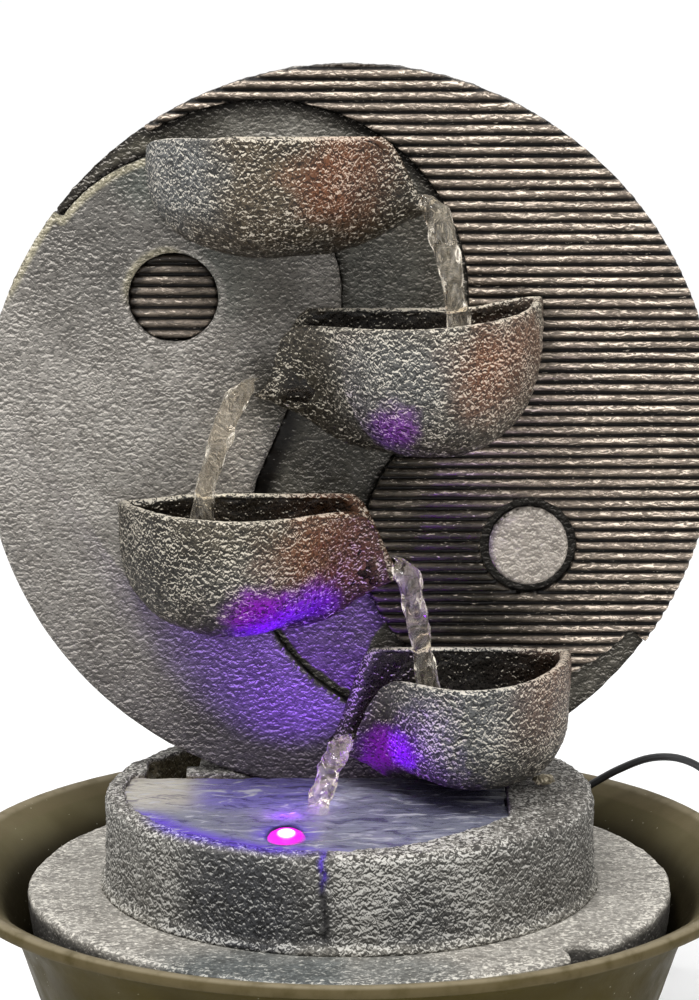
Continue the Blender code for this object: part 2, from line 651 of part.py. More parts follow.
# ---------------------------------------------------------------- pump

def make_pump_body():
    x, z = PUMP_X, PUMP_Z
    body = block("pump_housing", (x - 0.023, PUMP_FRONT, z - 0.020), (x + 0.023, PUMP_BACK, z + 0.020),
                 BLACK_PLASTIC, 0.002)
    cut(body, block("stator_pocket", (x - 0.0200, 0.0790, z - 0.0170), (x + 0.0200, 0.12, z + 0.0170)))
    join(body, rod("rotor_well_wall", 0.0100, -0.1050, -0.0780, (x, 0, z), (0, -1, 0), steps=24))
    cut(body, rod("rotor_well", 0.0085, -0.1035, -0.0700, (x, 0, z), (0, -1, 0), steps=24))
    cut(body, rod("gland_way", 0.0030, 0.0, 0.030, (x + 0.010, 0.098, z + 0.010), (1, 0, 0), steps=16))
    stator = block("pump_stator", (x - 0.0197, 0.0793, z - 0.0167), (x + 0.0150, 0.1040, z + 0.0167), COPPER)
    cut(stator, rod("stator_bore", 0.0103, -0.12, -0.07, (x, 0, z), (0, -1, 0), steps=24))
    block("pump_back_cap", (x - 0.0197, 0.1055, z - 0.0167), (x + 0.0197, 0.1090, z + 0.0167), BLACK_PLASTIC)
    for number, (dx, y) in enumerate(((-0.015, 0.080), (0.015, 0.080), (-0.015, 0.103), (0.015, 0.103)), start=1):
        foot = [(0, TUB_FLOOR + GAP), (0.0065, TUB_FLOOR + GAP), (0.0060, TUB_FLOOR + 0.0012),
                (0.0028, TUB_FLOOR + 0.0040), (0.0028, z - 0.020 - GAP), (0, z - 0.020 - GAP)]
        turned(f"pump_foot_{number}", foot, (x + dx, y, 0), look=RUBBER, steps=16)


def make_impeller():
    x, z = PUMP_X, PUMP_Z
    rotor = rod("pump_impeller", 0.0078, -0.1000, -0.0700, (x, 0, z), (0, -1, 0), MAGNET, 24)
    for k in range(4):
        turn = Matrix.Rotation(math.radians(45 * k), 3, "Y")
        low, high = Vector((-0.0120, 0.0652, -0.0007)), Vector((0.0120, 0.0730, 0.0007))
        sides = [(low.x, low.z), (high.x, low.z), (high.x, high.z), (low.x, high.z)]
        loops = [[Vector((x, 0, z)) + turn @ Vector((a, y, b)) for a, b in sides] for y in (low.y, high.y)]
        join(rotor, loft(f"blade_pair_{k + 1}", loops))
    cut(rotor, rod("shaft_way", 0.0013, -0.12, -0.06, (x, 0, z), (0, -1, 0), steps=12))
    rod("impeller_shaft", 0.00125, -0.1032, -0.0640, (x, 0, z), (0, -1, 0), CERAMIC, 12)


def make_volute():
    """Front chamber with the water outlet on its top."""
    x, z = PUMP_X, PUMP_Z
    back = PUMP_FRONT - GAP
    volute = block("pump_volute", (x - 0.0190, 0.0580, z - 0.0180), (x + 0.0190, back, z + 0.0180), BLACK_PLASTIC)
    join(volute, rod("nipple", 0.0033, z + 0.010, NIPPLE_TOP, (x, 0.066, 0), steps=16))
    cut(volute, rod("volute_chamber", 0.0145, -0.08, -0.0625, (x, 0, z), (0, -1, 0), steps=24))
    cut(volute, rod("volute_eye", 0.0060, -0.07, -0.05, (x, 0, z), (0, -1, 0), steps=16))
    cut(volute, rod("nipple_bore", 0.0020, z, NIPPLE_TOP + 0.01, (x, 0.066, 0), steps=12))


def make_intake():
    x, z = PUMP_X, PUMP_Z
    cover = block("intake_cover", (x - 0.0190, 0.0480, z - 0.0180), (x + 0.0190, 0.0577, z + 0.0180), BLACK_PLASTIC)
    cut(cover, block("intake_space", (x - 0.0165, 0.0505, z - 0.0155), (x + 0.0165, 0.07, z + 0.0155)))
    for k in range(-2, 3):
        if k:
            left = x + k * 0.0065 - 0.0012
            cut(cover, block(f"intake_slot_{k + 3}", (left, 0.04, z - 0.0125), (left + 0.0024, 0.052, z + 0.0125)))
    cut(cover, rod("dial_way", 0.0022, -0.06, -0.04, (x, 0, z), (0, -1, 0), steps=12))
    dial = rod("flow_dial", 0.0085, -0.0477, -0.0455, (x, 0, z), (0, -1, 0), MAGNET, 24)
    join(dial, rod("dial_stem", 0.0019, -0.0530, -0.0470, (x, 0, z), (0, -1, 0), steps=12))
    join(dial, block("dial_tab", (x - 0.0012, 0.0430, z - 0.0080), (x + 0.0012, 0.0460, z + 0.0080)))


def make_lamp_socket():
    """Short lead from the pump that feeds the lamp's plug."""
    shell = block("lamp_socket", (-0.0208, 0.0827, 0.0740), (-0.0192, 0.0843, 0.0950), BLACK_PLASTIC)
    join(shell, block("lamp_socket_body", (-0.0235, 0.0800, 0.0740), (-0.0165, 0.0870, 0.0877)))
    route = [(-0.0260, 0.0920, PUMP_Z + 0.0203), (-0.0240, 0.0905, 0.0620), (-0.0205, 0.0850, 0.0680),
             (-0.0200, 0.0835, 0.0737)]
    cable("lamp_feed", route, 0.0013, RUBBER, 0.005)


# ---------------------------------------------------------------- power cord

def cord_route():
    """Pump, slab notch, over the tub's rim, down outside and along the floor to the coil."""
    return [
        (0.0080, 0.0980, 0.0440), (0.0200, 0.0985, 0.0420), (0.0400, 0.1000, 0.0300), (0.0600, 0.1010, 0.0170),
        (0.0800, 0.1015, 0.0200), (0.0960, 0.1040, 0.0400), (0.1030, 0.1100, 0.0660), (0.1070, 0.1150, 0.0900),
        (0.1100, 0.1180, 0.1090), (0.1180, 0.1210, 0.1230), (0.1320, 0.1195, 0.1325), (0.1470, 0.1180, 0.1415),
        (0.1640, 0.1175, 0.1480), (0.1810, 0.1190, 0.1470), (0.1960, 0.1260, 0.1365), (0.2050, 0.1390, 0.1140),
        (0.2055, 0.1560, 0.0840), (0.1985, 0.1740, 0.0520), (0.1870, 0.1910, 0.0240), (0.1735, 0.2060, 0.0075),
        (0.1620, 0.2180, 0.0028), (0.1535, 0.2285, 0.0024),
    ]


def make_cord():
    y, z = 0.098, PUMP_Z + 0.010
    start = PUMP_X + 0.010
    gland = [(0, start + 0.0060), (0.0027, start + 0.0060), (0.0027, start + 0.0133), (0.0050, start + 0.0133),
             (0.0050, start + 0.0170), (0.0042, start + 0.0200), (0.0034, start + 0.0425), (0, start + 0.0425)]
    turned("cable_gland", gland, (0, y, z), (1, 0, 0), RUBBER, 16)
    cable("power_cord", cord_route(), CORD_R, RUBBER, 0.0105)
    x, y = COIL_CENTRE
    low, height = COIL_LOW, COIL_HIGH
    inner, outer = COIL_MEAN_R - COIL_HALF_WIDTH, COIL_MEAN_R + COIL_HALF_WIDTH
    ring = [(inner, low + 0.002), (inner + 0.002, low), (outer - 0.002, low), (outer, low + 0.002),
            (outer, height - 0.002), (outer - 0.002, height), (inner + 0.002, height), (inner, height - 0.002)]
    turned("power_cord_coil", ring, (x, y, 0), look=RUBBER, steps=24)
    back, front = y - outer - GAP, y - inner + 4 * GAP
    tie = block("cord_tie", (x - 0.003, back - 0.0006, COIL_LOW - 0.0009), (x + 0.003, front + 0.0006, COIL_HIGH + 0.0009),
                BLACK_PLASTIC)
    cut(tie, block("cord_tie_way", (x - 0.01, back, COIL_LOW - GAP), (x + 0.01, front, COIL_HIGH + GAP)))


def make_plug():
    """Low-voltage plug lying beside the coil, on a short tail of cord."""
    tail = [(0.0990, 0.2626, 0.0058), (0.0860, 0.2608, 0.0044), (0.0740, 0.2580, 0.0043), (0.0603, 0.2560, 0.0045)]
    cable("power_cord_tail", tail, CORD_R, RUBBER, 0.006)
    block("plug_body", (0.0340, 0.2505, 0.0005), (0.0600, 0.2615, 0.0085), BLACK_PLASTIC, 0.0015)
    shell = block("plug_shell", (0.0200, 0.2500, 0.0022), (0.0337, 0.2620, 0.0067), STEEL)
    cut(shell, block("plug_mouth", (0.01, 0.2504, 0.0026), (0.0325, 0.2616, 0.0063)))
    block("plug_tongue", (0.0215, 0.2506, 0.0045), (0.0322, 0.2614, 0.0060), BOARD)


def main():
    clear_scene()
    make_tub()
    make_slab()
    make_drum()
    make_shell()
    make_smooth_half()
    make_ribbed_half()
    make_channel()
    make_dots()
    for name in BOWLS:
        make_bowl(name)
    make_hose()
    make_elbow()
    make_hose_clips()
    make_lamp()
    make_pebbles()
    make_pump_body()
    make_impeller()
    make_volute()
    make_intake()
    make_lamp_socket()
    make_cord()
    make_plug()


main()
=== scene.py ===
"""Looks of the tiered bowl fountain: stone resin, running water, the lamp's light, the tub and the cord."""

import itertools
import math

import bmesh
import bpy
import numpy as np
from mathutils import Matrix, Vector


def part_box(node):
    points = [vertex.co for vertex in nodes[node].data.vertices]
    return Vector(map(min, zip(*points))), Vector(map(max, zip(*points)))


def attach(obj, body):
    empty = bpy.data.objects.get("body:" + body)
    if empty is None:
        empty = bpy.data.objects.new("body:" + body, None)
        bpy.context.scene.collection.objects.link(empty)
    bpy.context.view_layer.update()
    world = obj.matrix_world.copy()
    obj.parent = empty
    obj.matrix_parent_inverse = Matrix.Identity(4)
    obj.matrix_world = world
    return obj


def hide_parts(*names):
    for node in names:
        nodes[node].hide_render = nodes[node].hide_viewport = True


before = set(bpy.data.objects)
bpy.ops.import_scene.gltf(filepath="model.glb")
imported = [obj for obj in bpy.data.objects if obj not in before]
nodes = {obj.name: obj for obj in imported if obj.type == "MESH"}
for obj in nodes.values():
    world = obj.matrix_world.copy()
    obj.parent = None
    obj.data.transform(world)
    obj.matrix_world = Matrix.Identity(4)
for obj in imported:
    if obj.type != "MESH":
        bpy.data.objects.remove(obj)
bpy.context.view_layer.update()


def middle(node):
    low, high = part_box(node)
    return (Vector(low) + Vector(high)) / 2


def add_object(name, data):
    made = bpy.data.objects.new(name, data)
    bpy.context.scene.collection.objects.link(made)
    return made


# Backdrop, from the frame
DISC_LOW, DISC_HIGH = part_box("backdrop_shell")
DISC_R = (DISC_HIGH[0] - DISC_LOW[0]) / 2
DISC_Z = (DISC_HIGH[2] + DISC_LOW[2]) / 2
SHELL_BACK = DISC_HIGH[1]
FACE_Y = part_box("smooth_panel")[0][1]
CREST_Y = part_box("ribbed_panel")[0][1]
CHANNEL_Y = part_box("stone_channel")[0][1]
PANEL_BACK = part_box("stone_channel")[1][1]
DOT_LEFT = np.array([middle("ribbed_dot").x, middle("ribbed_dot").z - DISC_Z])
DOT_RIGHT = np.array([middle("smooth_dot").x, middle("smooth_dot").z - DISC_Z])
DOT_LEFT_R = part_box("ribbed_dot")[1][0] - middle("ribbed_dot").x
DOT_RIGHT_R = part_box("smooth_dot")[1][0] - middle("smooth_dot").x
RIGHT_RECESS_R = 0.0245
RIB_LOW = 0.1950
RIB_PITCH = 0.0054
GROOVE_DEPTH = 0.0036
RIB_PHASES = (0, 0.16, 0.32, 0.52, 0.70, 0.84, 1)

# Stand, from the frame
SLAB_LOW, SLAB_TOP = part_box("base_slab")[0][2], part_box("base_slab")[1][2]
SLAB_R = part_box("base_slab")[1][0]
DRUM_LOW, DRUM_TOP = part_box("pool_drum")[0][2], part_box("pool_drum")[1][2]
DRUM_R = 0.1235
TUB_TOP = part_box("tub")[1][2]
TUB_RIM_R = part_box("tub")[1][0]
LAMP = middle("lamp_lens")
DRAIN_ANGLE = math.radians(-46)
CABLE_ANGLE = math.radians(47)
POOL_LEVEL = 0.1632

# Bowls: centre x, rim z, half width, reach, height, spout side, spout length, spout drop
BOWLS = {
    "bowl_first": (-0.0415, 0.493, 0.0590, 0.078, 0.0615, 1, 0.025, 0.035),
    "bowl_second": (0.0415, 0.406, 0.0552, 0.078, 0.0745, -1, 0.034, 0.039),
    "bowl_third": (-0.0595, 0.314, 0.0570, 0.080, 0.0725, 1, 0.031, 0.039),
    "bowl_fourth": (0.0625, 0.234, 0.0500, 0.086, 0.0672, -1, 0.024, 0.046),
}
# Their rims: fullness of the side, angle and spread of the fall to the mouth, then how far the whole rim,
# the far end, the far corner and the front are out of level
RIMS = {
    "bowl_first": (3.2, 0.25, 0.25, -0.002, 0.0, -0.005, 0.0035),
    "bowl_second": (3.3, 0.16, 0.16, 0.0, 0.004, 0.002, -0.001),
    "bowl_third": (3.6, 0.22, 0.16, -0.002, 0.0015, -0.005, 0.0),
    "bowl_fourth": (5.5, 0.32, 0.22, -0.0015, 0.002, -0.003, -0.0025),
}
BOWL_WALL = 0.0060
BOWL_BACK = FACE_Y - 0.0003
INNER_BACK = BOWL_BACK - BOWL_WALL * 0.75
SPOUT_ANGLE = 0.32
SPOUT_SPREAD = 0.45
SPOUT_SHARPNESS = 3.0
MOUTH_PINCH = 0.8
CORNER_SPREAD = 0.35
BACK_RISE = 0.30
BACK_FALL = 0.18
# Water surface in each bowl
LEVELS = {"bowl_first": 0.4595, "bowl_second": 0.3680, "bowl_third": 0.2765, "bowl_fourth": 0.1930}

CORD_R = 0.0021
COIL_MIDDLE = middle("power_cord_coil")


# ---------------------------------------------------------------- camera, floor and light

def make_camera():
    data = bpy.data.cameras.new("photo_camera")
    data.lens = 109.76
    data.sensor_width = 36
    data.clip_end = 200
    camera = add_object("photo_camera", data)
    camera.location = (0, -1.4906, 0.5869)
    camera.rotation_euler = (math.radians(90 - 10.43), 0, 0)
    bpy.context.scene.camera = camera


def area_light(name, spot, target, size, power):
    data = bpy.data.lights.new(name, "AREA")
    data.shape = "DISK"
    data.size = size
    data.energy = power
    lamp = add_object(name, data)
    lamp.location = spot
    lamp.rotation_euler = (Vector(target) - Vector(spot)).to_track_quat("-Z", "Y").to_euler()


def make_studio():
    """A pale sky, brighter overhead, and two soft lamps."""
    world = bpy.data.worlds.new("studio")
    world.use_nodes = True
    tree = world.node_tree
    sky = tree.nodes["Background"]
    place = tree.nodes.new("ShaderNodeTexCoord")
    split = tree.nodes.new("ShaderNodeSeparateXYZ")
    grade = tree.nodes.new("ShaderNodeMapRange")
    grade.inputs["To Min"].default_value = 0.40
    grade.inputs["To Max"].default_value = 1.46
    tree.links.new(place.outputs["Generated"], split.inputs["Vector"])
    tree.links.new(split.outputs["Z"], grade.inputs["Value"])
    tree.links.new(grade.outputs["Result"], sky.inputs["Strength"])
    sky.inputs["Color"].default_value = (1.0, 1.0, 1.0, 1)
    bpy.context.scene.world = world
    bpy.context.scene.view_settings.view_transform = "Standard"
    area_light("key", (-0.45, -0.80, 1.80), (0, 0, 0.30), 0.55, 22)
    area_light("fill", (0.9, -0.9, 0.9), (0, 0, 0.28), 0.9, 3)


def make_floor():
    mesh = bpy.data.meshes.new("floor")
    side = 400
    corners = [(-side, -side, 0), (side, -side, 0), (side, side, 0), (-side, side, 0)]
    mesh.from_pydata(corners, [], [(0, 1, 2, 3)])
    look = Look("pale_floor", rough=0.9)
    look.colour(look.blend(look.noise(0.4, 2), (0.93, 0.93, 0.93), (0.95, 0.95, 0.95)))
    mesh.materials.append(look.material)
    add_object("floor", mesh)


# ---------------------------------------------------------------- materials

def srgb(*channels):
    """Linear colour of a display colour given from 0 to 255."""
    return tuple(c / 255 / 12.92 if c < 10.3 else ((c / 255 + 0.055) / 1.055) ** 2.4 for c in channels)


class Look:
    """Builds one procedural material around a Principled shader; sizes are in metres."""

    def __init__(self, name, rough=0.6, metal=0.0, spec=0.5):
        self.material = bpy.data.materials.new(name)
        self.material.use_nodes = True
        self.tree = self.material.node_tree
        self.shader = self.tree.nodes["Principled BSDF"]
        self.shader.inputs["Roughness"].default_value = rough
        self.shader.inputs["Metallic"].default_value = metal
        self.shader.inputs["Specular IOR Level"].default_value = spec
        self.place = self.tree.nodes.new("ShaderNodeTexCoord").outputs["Object"]

    def put(self, socket, value):
        if isinstance(value, bpy.types.NodeSocket):
            self.tree.links.new(value, socket)
        elif isinstance(value, tuple) and len(value) == 3 and socket.type == "RGBA":
            socket.default_value = (*value, 1)
        else:
            socket.default_value = value

    def node(self, kind, inputs=None, **settings):
        made = self.tree.nodes.new(kind)
        for key, value in settings.items():
            setattr(made, key, value)
        for key, value in (inputs or {}).items():
            self.put(made.inputs[key], value)
        return made

    def stretch(self, scale):
        return self.node("ShaderNodeMapping", {"Vector": self.place, "Scale": scale}).outputs["Vector"]

    def noise(self, size, detail=3, rough=0.55, distort=0.0, at=None):
        settings = {"Vector": at or self.place, "Scale": 1 / size, "Detail": detail, "Roughness": rough,
                    "Distortion": distort}
        return self.node("ShaderNodeTexNoise", settings).outputs["Fac"]

    def cells(self, size):
        settings = {"Vector": self.place, "Scale": 1 / size}
        return self.node("ShaderNodeTexVoronoi", settings).outputs["Distance"]

    def math(self, operation, a, b=0.0, c=0.0, clamp=False):
        made = self.node("ShaderNodeMath", operation=operation, use_clamp=clamp)
        for socket, value in zip(made.inputs, (a, b, c)):
            self.put(socket, value)
        return made.outputs[0]

    def span(self, value, low, high, to_low=0.0, to_high=1.0):
        """Smooth step of a value between low and high."""
        settings = {"Value": value, "From Min": low, "From Max": high, "To Min": to_low, "To Max": to_high}
        return self.node("ShaderNodeMapRange", settings, interpolation_type="SMOOTHSTEP").outputs["Result"]

    def blend(self, factor, a, b, kind="MIX"):
        made = self.node("ShaderNodeMix", data_type="RGBA", blend_type=kind)
        self.put(made.inputs[0], factor)
        self.put(made.inputs[6], a)
        self.put(made.inputs[7], b)
        return made.outputs[2]

    def dim(self, colour, by):
        return self.blend(1.0, colour, by, "MULTIPLY")

    def field(self, name, colour=False):
        made = self.node("ShaderNodeAttribute", attribute_name=name)
        return made.outputs["Color" if colour else "Fac"]

    def colour(self, value):
        self.put(self.shader.inputs["Base Color"], value)

    def rough(self, value):
        self.put(self.shader.inputs["Roughness"], value)

    def bump(self, height, depth):
        """Fine relief; depth is in metres."""
        made = self.node("ShaderNodeBump", {"Height": height, "Distance": depth, "Strength": 1.0})
        self.put(self.shader.inputs["Normal"], made.outputs["Normal"])


def stone_look(name, grain, pale, relief, dark=0.30, stroke=1.0, sharp=0.10, curl=0.8):
    """Cast stone with a worm-like fine relief: dark pits, and pale paint on its ridges, laid as if lit from
    above.
    Part of the dark is painted shade and part of the pale is painted highlight.

    The mesh carries its pigment in "tone" and how much pale paint it took in "fleck", both with painted light
    and shade in them, and water in "wet".
    """
    look = Look(name, rough=0.8, spec=0.28)
    tone = look.field("tone", colour=True)
    flat = look.stretch((stroke, 1.0, 1.0))
    shifted = {"Vector": flat, "Location": (0, 0, grain * 0.30)}
    high = look.node("ShaderNodeMapping", shifted).outputs["Vector"]
    worms, above = (look.noise(grain, detail=2.5, rough=0.6, distort=curl, at=at) for at in (flat, high))
    # Slope of the relief towards a light from above: it places painted highlight and painted shade
    lit = look.math("SUBTRACT", worms, above)
    dust = look.noise(grain * 0.30, detail=3, rough=0.65)
    height = look.math("MULTIPLY_ADD", dust, 0.35, look.math("MULTIPLY", worms, 0.75))
    # Dark in pits and on slopes that face down: pits, with painted shade
    sunk = look.span(look.math("MULTIPLY_ADD", lit, 1.4, height), 0.34, 0.62)
    body = look.blend(sunk, look.dim(tone, (dark, dark, dark)), tone)
    cloud = look.span(look.noise(grain * 5, detail=3, rough=0.6), 0.30, 0.70)
    body = look.blend(cloud, look.dim(body, (0.70, 0.69, 0.68)), body)
    # Pale paint on ridges, most where they face up: dry-brushed paint with painted highlight
    paint_and_highlight = look.math("MULTIPLY_ADD", lit, 2.6, look.math("MULTIPLY_ADD", dust, 0.5, 0.25))
    start = look.math("MULTIPLY_ADD", look.field("fleck"), -0.62, 0.92)
    cover = look.span(paint_and_highlight, start, look.math("ADD", start, sharp + 0.10))
    look.colour(look.blend(cover, body, look.blend(0.30, pale, look.dim(tone, (2.8, 2.8, 2.8)))))
    dry = look.span(dust, 0.3, 0.8, 0.62, 0.86)
    look.rough(look.math("SUBTRACT", dry, look.math("MULTIPLY", look.field("wet"), 0.45), clamp=True))
    look.bump(height, relief)
    return look.material


def plastic_look(name, colour, rough=0.45, grain=0.0009, relief=0.00005, mottle=0.12):
    look = Look(name, rough=rough)
    fine = look.noise(grain, detail=3)
    broad = look.noise(0.03, detail=3)
    dark = tuple(c * (1 - mottle) for c in colour)
    light = tuple(min(1, c * (1 + mottle) + 0.002) for c in colour)
    cloud = look.math("MULTIPLY_ADD", broad, 0.6, look.math("MULTIPLY", fine, 0.4))
    look.colour(look.blend(cloud, dark, light))
    look.rough(look.span(look.noise(0.012, detail=4), 0.25, 0.75, rough - 0.08, rough + 0.12))
    look.bump(fine, relief)
    return look.material


def metal_look(name, colour):
    look = Look(name, metal=1.0)
    drag = look.noise(0.0006, detail=4, at=look.stretch((1.0, 0.08, 1.0)))
    look.colour(look.blend(drag, tuple(c * 0.8 for c in colour), colour))
    look.rough(look.span(drag, 0.2, 0.8, 0.22, 0.44))
    look.bump(drag, 0.00002)
    return look.material


# ---------------------------------------------------------------- shapes

class Noise:
    """Smooth gradient noise of 3-D points, from about -1 to 1."""

    def __init__(self, seed):
        dice = np.random.RandomState(seed)
        self.order = dice.permutation(256)
        slopes = dice.normal(size=(256, 3))
        self.slopes = slopes / np.linalg.norm(slopes, axis=1)[:, None]

    def layer(self, points):
        cell = np.floor(points).astype(int)
        part = points - cell
        ease = part ** 3 * (part * (part * 6 - 15) + 10)
        total = np.zeros(len(points))
        for corner in itertools.product((0, 1), repeat=3):
            step = np.array(corner)
            at = (cell + step) % 256
            key = self.order[(self.order[(self.order[at[:, 0]] + at[:, 1]) % 256] + at[:, 2]) % 256]
            reach = ((part - step) * self.slopes[key]).sum(axis=1)
            total += reach * np.where(step, ease, 1 - ease).prod(axis=1)
        return total * 1.7

    def __call__(self, points, size, octaves=1):
        points = np.asarray(points, dtype=float)
        total = np.zeros(len(points))
        weight = 1.0
        for octave in range(octaves):
            total += weight * self.layer(points / size + 7.31 * (octave + 1))
            size = size * 0.48
            weight *= 0.5
        return total


rough_noise = Noise(4)
patch_noise = Noise(19)


def smoothstep(value, low=0.0, high=1.0):
    value = np.clip((np.asarray(value, dtype=float) - low) / (high - low), 0, 1)
    return value * value * (3 - 2 * value)


def ridged(points, size, octaves=2):
    """Noise with raised creases, 0 to 1."""
    return 1 - np.clip(np.abs(rough_noise(points, size, octaves)) * 1.6, 0, 1)


def add_piece(name, corners, faces, turn_out=True):
    mesh = bpy.data.meshes.new(name)
    mesh.from_pydata(np.asarray(corners).tolist(), [], faces)
    if turn_out:
        shape = bmesh.new()
        shape.from_mesh(mesh)
        bmesh.ops.recalc_face_normals(shape, faces=shape.faces)
        shape.to_mesh(mesh)
        shape.free()
    mesh.shade_smooth()
    return add_object(name, mesh)


def push_out(piece, relief):
    """Move a piece's corners along their normals, and return where they are."""
    move_corners(piece, corners_of(piece) + normals_of(piece) * relief[:, None])
    return corners_of(piece)


def corners_of(piece):
    flat = np.empty(len(piece.data.vertices) * 3)
    piece.data.vertices.foreach_get("co", flat)
    return flat.reshape(-1, 3)


def normals_of(piece):
    flat = np.empty(len(piece.data.vertices) * 3, dtype=np.float32)
    piece.data.vertex_normals.foreach_get("vector", flat)
    return flat.reshape(-1, 3).astype(float)


def move_corners(piece, corners):
    piece.data.vertices.foreach_set("co", np.ascontiguousarray(corners, dtype=np.float32).ravel())
    piece.data.update()


def store(piece, name, values):
    values = np.asarray(values, dtype=np.float32)
    kind = "FLOAT_COLOR" if values.ndim == 2 else "FLOAT"
    field = piece.data.attributes.new(name, kind, "POINT")
    if values.ndim == 2:
        values = np.concatenate([values, np.ones((len(values), 1), dtype=np.float32)], axis=1)
        field.data.foreach_set("color", values.ravel())
    else:
        field.data.foreach_set("value", values)


def paint(piece, look, tone, fleck, wet):
    count = len(piece.data.vertices)
    store(piece, "tone", np.clip(tone, 0.002, 1))
    store(piece, "fleck", np.clip(np.broadcast_to(fleck, count), 0, 1))
    store(piece, "wet", np.clip(np.broadcast_to(wet, count), 0, 1))
    piece.data.materials.clear()
    piece.data.materials.append(look)


def settle(piece, slot, *replaced, body="sculpture"):
    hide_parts(*replaced)
    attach(piece, body)
    return piece


def spot_weight(points, x, z, radius, y=None):
    """1 at a spot, fading out at the radius, with a ragged edge."""
    away = np.hypot(points[:, 0] - x, points[:, 2] - z)
    if y is not None:
        away = np.hypot(away, points[:, 1] - y)
    away = away * (1 + 0.22 * patch_noise(points, radius * 0.5, 3))
    return 1 - smoothstep(away / radius, 0.25, 1.0)


def tint(tone, colour, weight):
    """Blend a tone towards a colour where the weight is 1."""
    return tone + (np.array(colour) - tone) * np.asarray(weight)[:, None]


def spotted(tone, points, spots):
    """Tint round spots, one after another: x, z, radius, colour, strength."""
    for x, z, radius, colour, strength in spots:
        tone = tint(tone, colour, strength * spot_weight(points, x, z, radius))
    return tone


def strongest(points, spots):
    """The strongest of several round spots: x, z, radius, strength, and y off an upright face."""
    return np.max([s * spot_weight(points, x, z, radius, *y) for x, z, radius, s, *y in spots], axis=0)


def base_tone(points, colour, spread=0.16, size=0.03):
    cloud = patch_noise(points, size, 3)
    return np.array(colour) * (1 + spread * cloud)[:, None]


def on_circle(radius, degrees, centre=(0.0, 0.0)):
    angle = np.radians(degrees)
    return np.stack([centre[0] + radius * np.cos(angle), centre[1] + radius * np.sin(angle)], axis=-1)


def head_r(degrees, grow):
    """Radius of a half's round head about its dot, at an angle from the spot nearest the other half."""
    return 0.076 + 0.008 * np.cos(np.radians(degrees * 1.3)) + grow


def tail_r(degrees, grow):
    """Radius of the long sweep about the other half's dot."""
    return 0.148 - 0.072 * smoothstep(degrees / 122) + grow


def smooth_edge(grow=0.0):
    """Edge of the smooth half, from the disc's upper left to its lower right."""
    head, tail = np.arange(144, -47, -3.0), np.arange(-14, 99, 3.0)
    return np.concatenate([on_circle(head_r(head, grow), head, DOT_LEFT),
                           on_circle(tail_r(tail, -0.006 - grow), tail + 180, DOT_RIGHT)])


def ribbed_edge(grow=0.0):
    """Edge of the ribbed half, from the disc's upper left to its lower right."""
    tail, head = np.arange(98, -23, -3.0), np.arange(-40, 141, 3.0)
    return np.concatenate([on_circle(tail_r(tail, -grow), tail, DOT_LEFT),
                           on_circle(head_r(head, grow), head + 180, DOT_RIGHT)])


def rim_angle(point):
    return math.degrees(math.atan2(point[1], point[0]))


def rim_arc(start, end, clockwise):
    """Points of the disc's rim between two angles, both left out."""
    if clockwise and end > start:
        end -= 360
    if not clockwise and end < start:
        end += 360
    return on_circle(DISC_R, np.linspace(start, end, max(3, round(abs(end - start) / 2)))[1:-1])


def within_disc(points, turn=0.0):
    kept = points[np.hypot(points[:, 0], points[:, 1]) < DISC_R - 0.001]
    first = on_circle(DISC_R, rim_angle(kept[0]) + turn)
    last = on_circle(DISC_R, rim_angle(kept[-1]) - turn)
    return np.concatenate([[first], kept, [last]])


def edge_distance(points, outline):
    """Distance of points from a closed outline, positive inside it."""
    best = np.full(len(points), 1e9)
    inside = np.zeros(len(points), dtype=bool)
    for p, q in zip(outline, np.roll(outline, -1, axis=0)):
        run = q - p
        away = points - p
        part = np.clip(away @ run / max(run @ run, 1e-18), 0, 1)
        best = np.minimum(best, ((away - part[:, None] * run) ** 2).sum(axis=1))
        crosses = (p[1] > points[:, 1]) != (q[1] > points[:, 1])
        if run[1]:
            inside ^= crosses & (points[:, 0] < run[0] * (points[:, 1] - p[1]) / run[1] + p[0])
    return np.where(inside, 1, -1) * np.sqrt(best)


def quads(grid):
    """The four corners of each cell of a grid, in order round it."""
    return np.stack([grid[:-1, :-1], grid[:-1, 1:], grid[1:, 1:], grid[1:, :-1]], axis=-1).reshape(-1, 4)


def drop_unused(faces, count):
    """Numbers of the corners that the faces use, and the faces renumbered to those alone."""
    used = np.unique([n for f in faces for n in f])
    place = np.full(count, -1)
    place[used] = np.arange(len(used))
    return used, [tuple(int(place[n]) for n in f) for f in faces]


def loop_faces(rows, count, first=0, wrap=False):
    """Faces between equal closed loops, row after row; with wrap, the last row meets the first."""
    faces = []
    for row in range(rows if wrap else rows - 1):
        low, high = first + row * count, first + (row + 1) % rows * count
        faces += [(low + k, low + (k + 1) % count, high + (k + 1) % count, high + k) for k in range(count)]
    return faces


def fit_to_outline(flat, step, distance):
    """Move grid corners that lie close to an outline onto it. Returns every corner's distance from it."""
    away = distance(flat)
    near = np.abs(away) < 0.6 * step
    small = step * 0.05
    slope = np.stack([distance(flat[near] + (small, 0)), distance(flat[near] + (0, small))], axis=1)
    slope = (slope - away[near, None]) / small
    slope /= np.maximum(np.linalg.norm(slope, axis=1), 0.3)[:, None]
    flat[near] -= slope * away[near, None]
    away[near] = 0
    return away


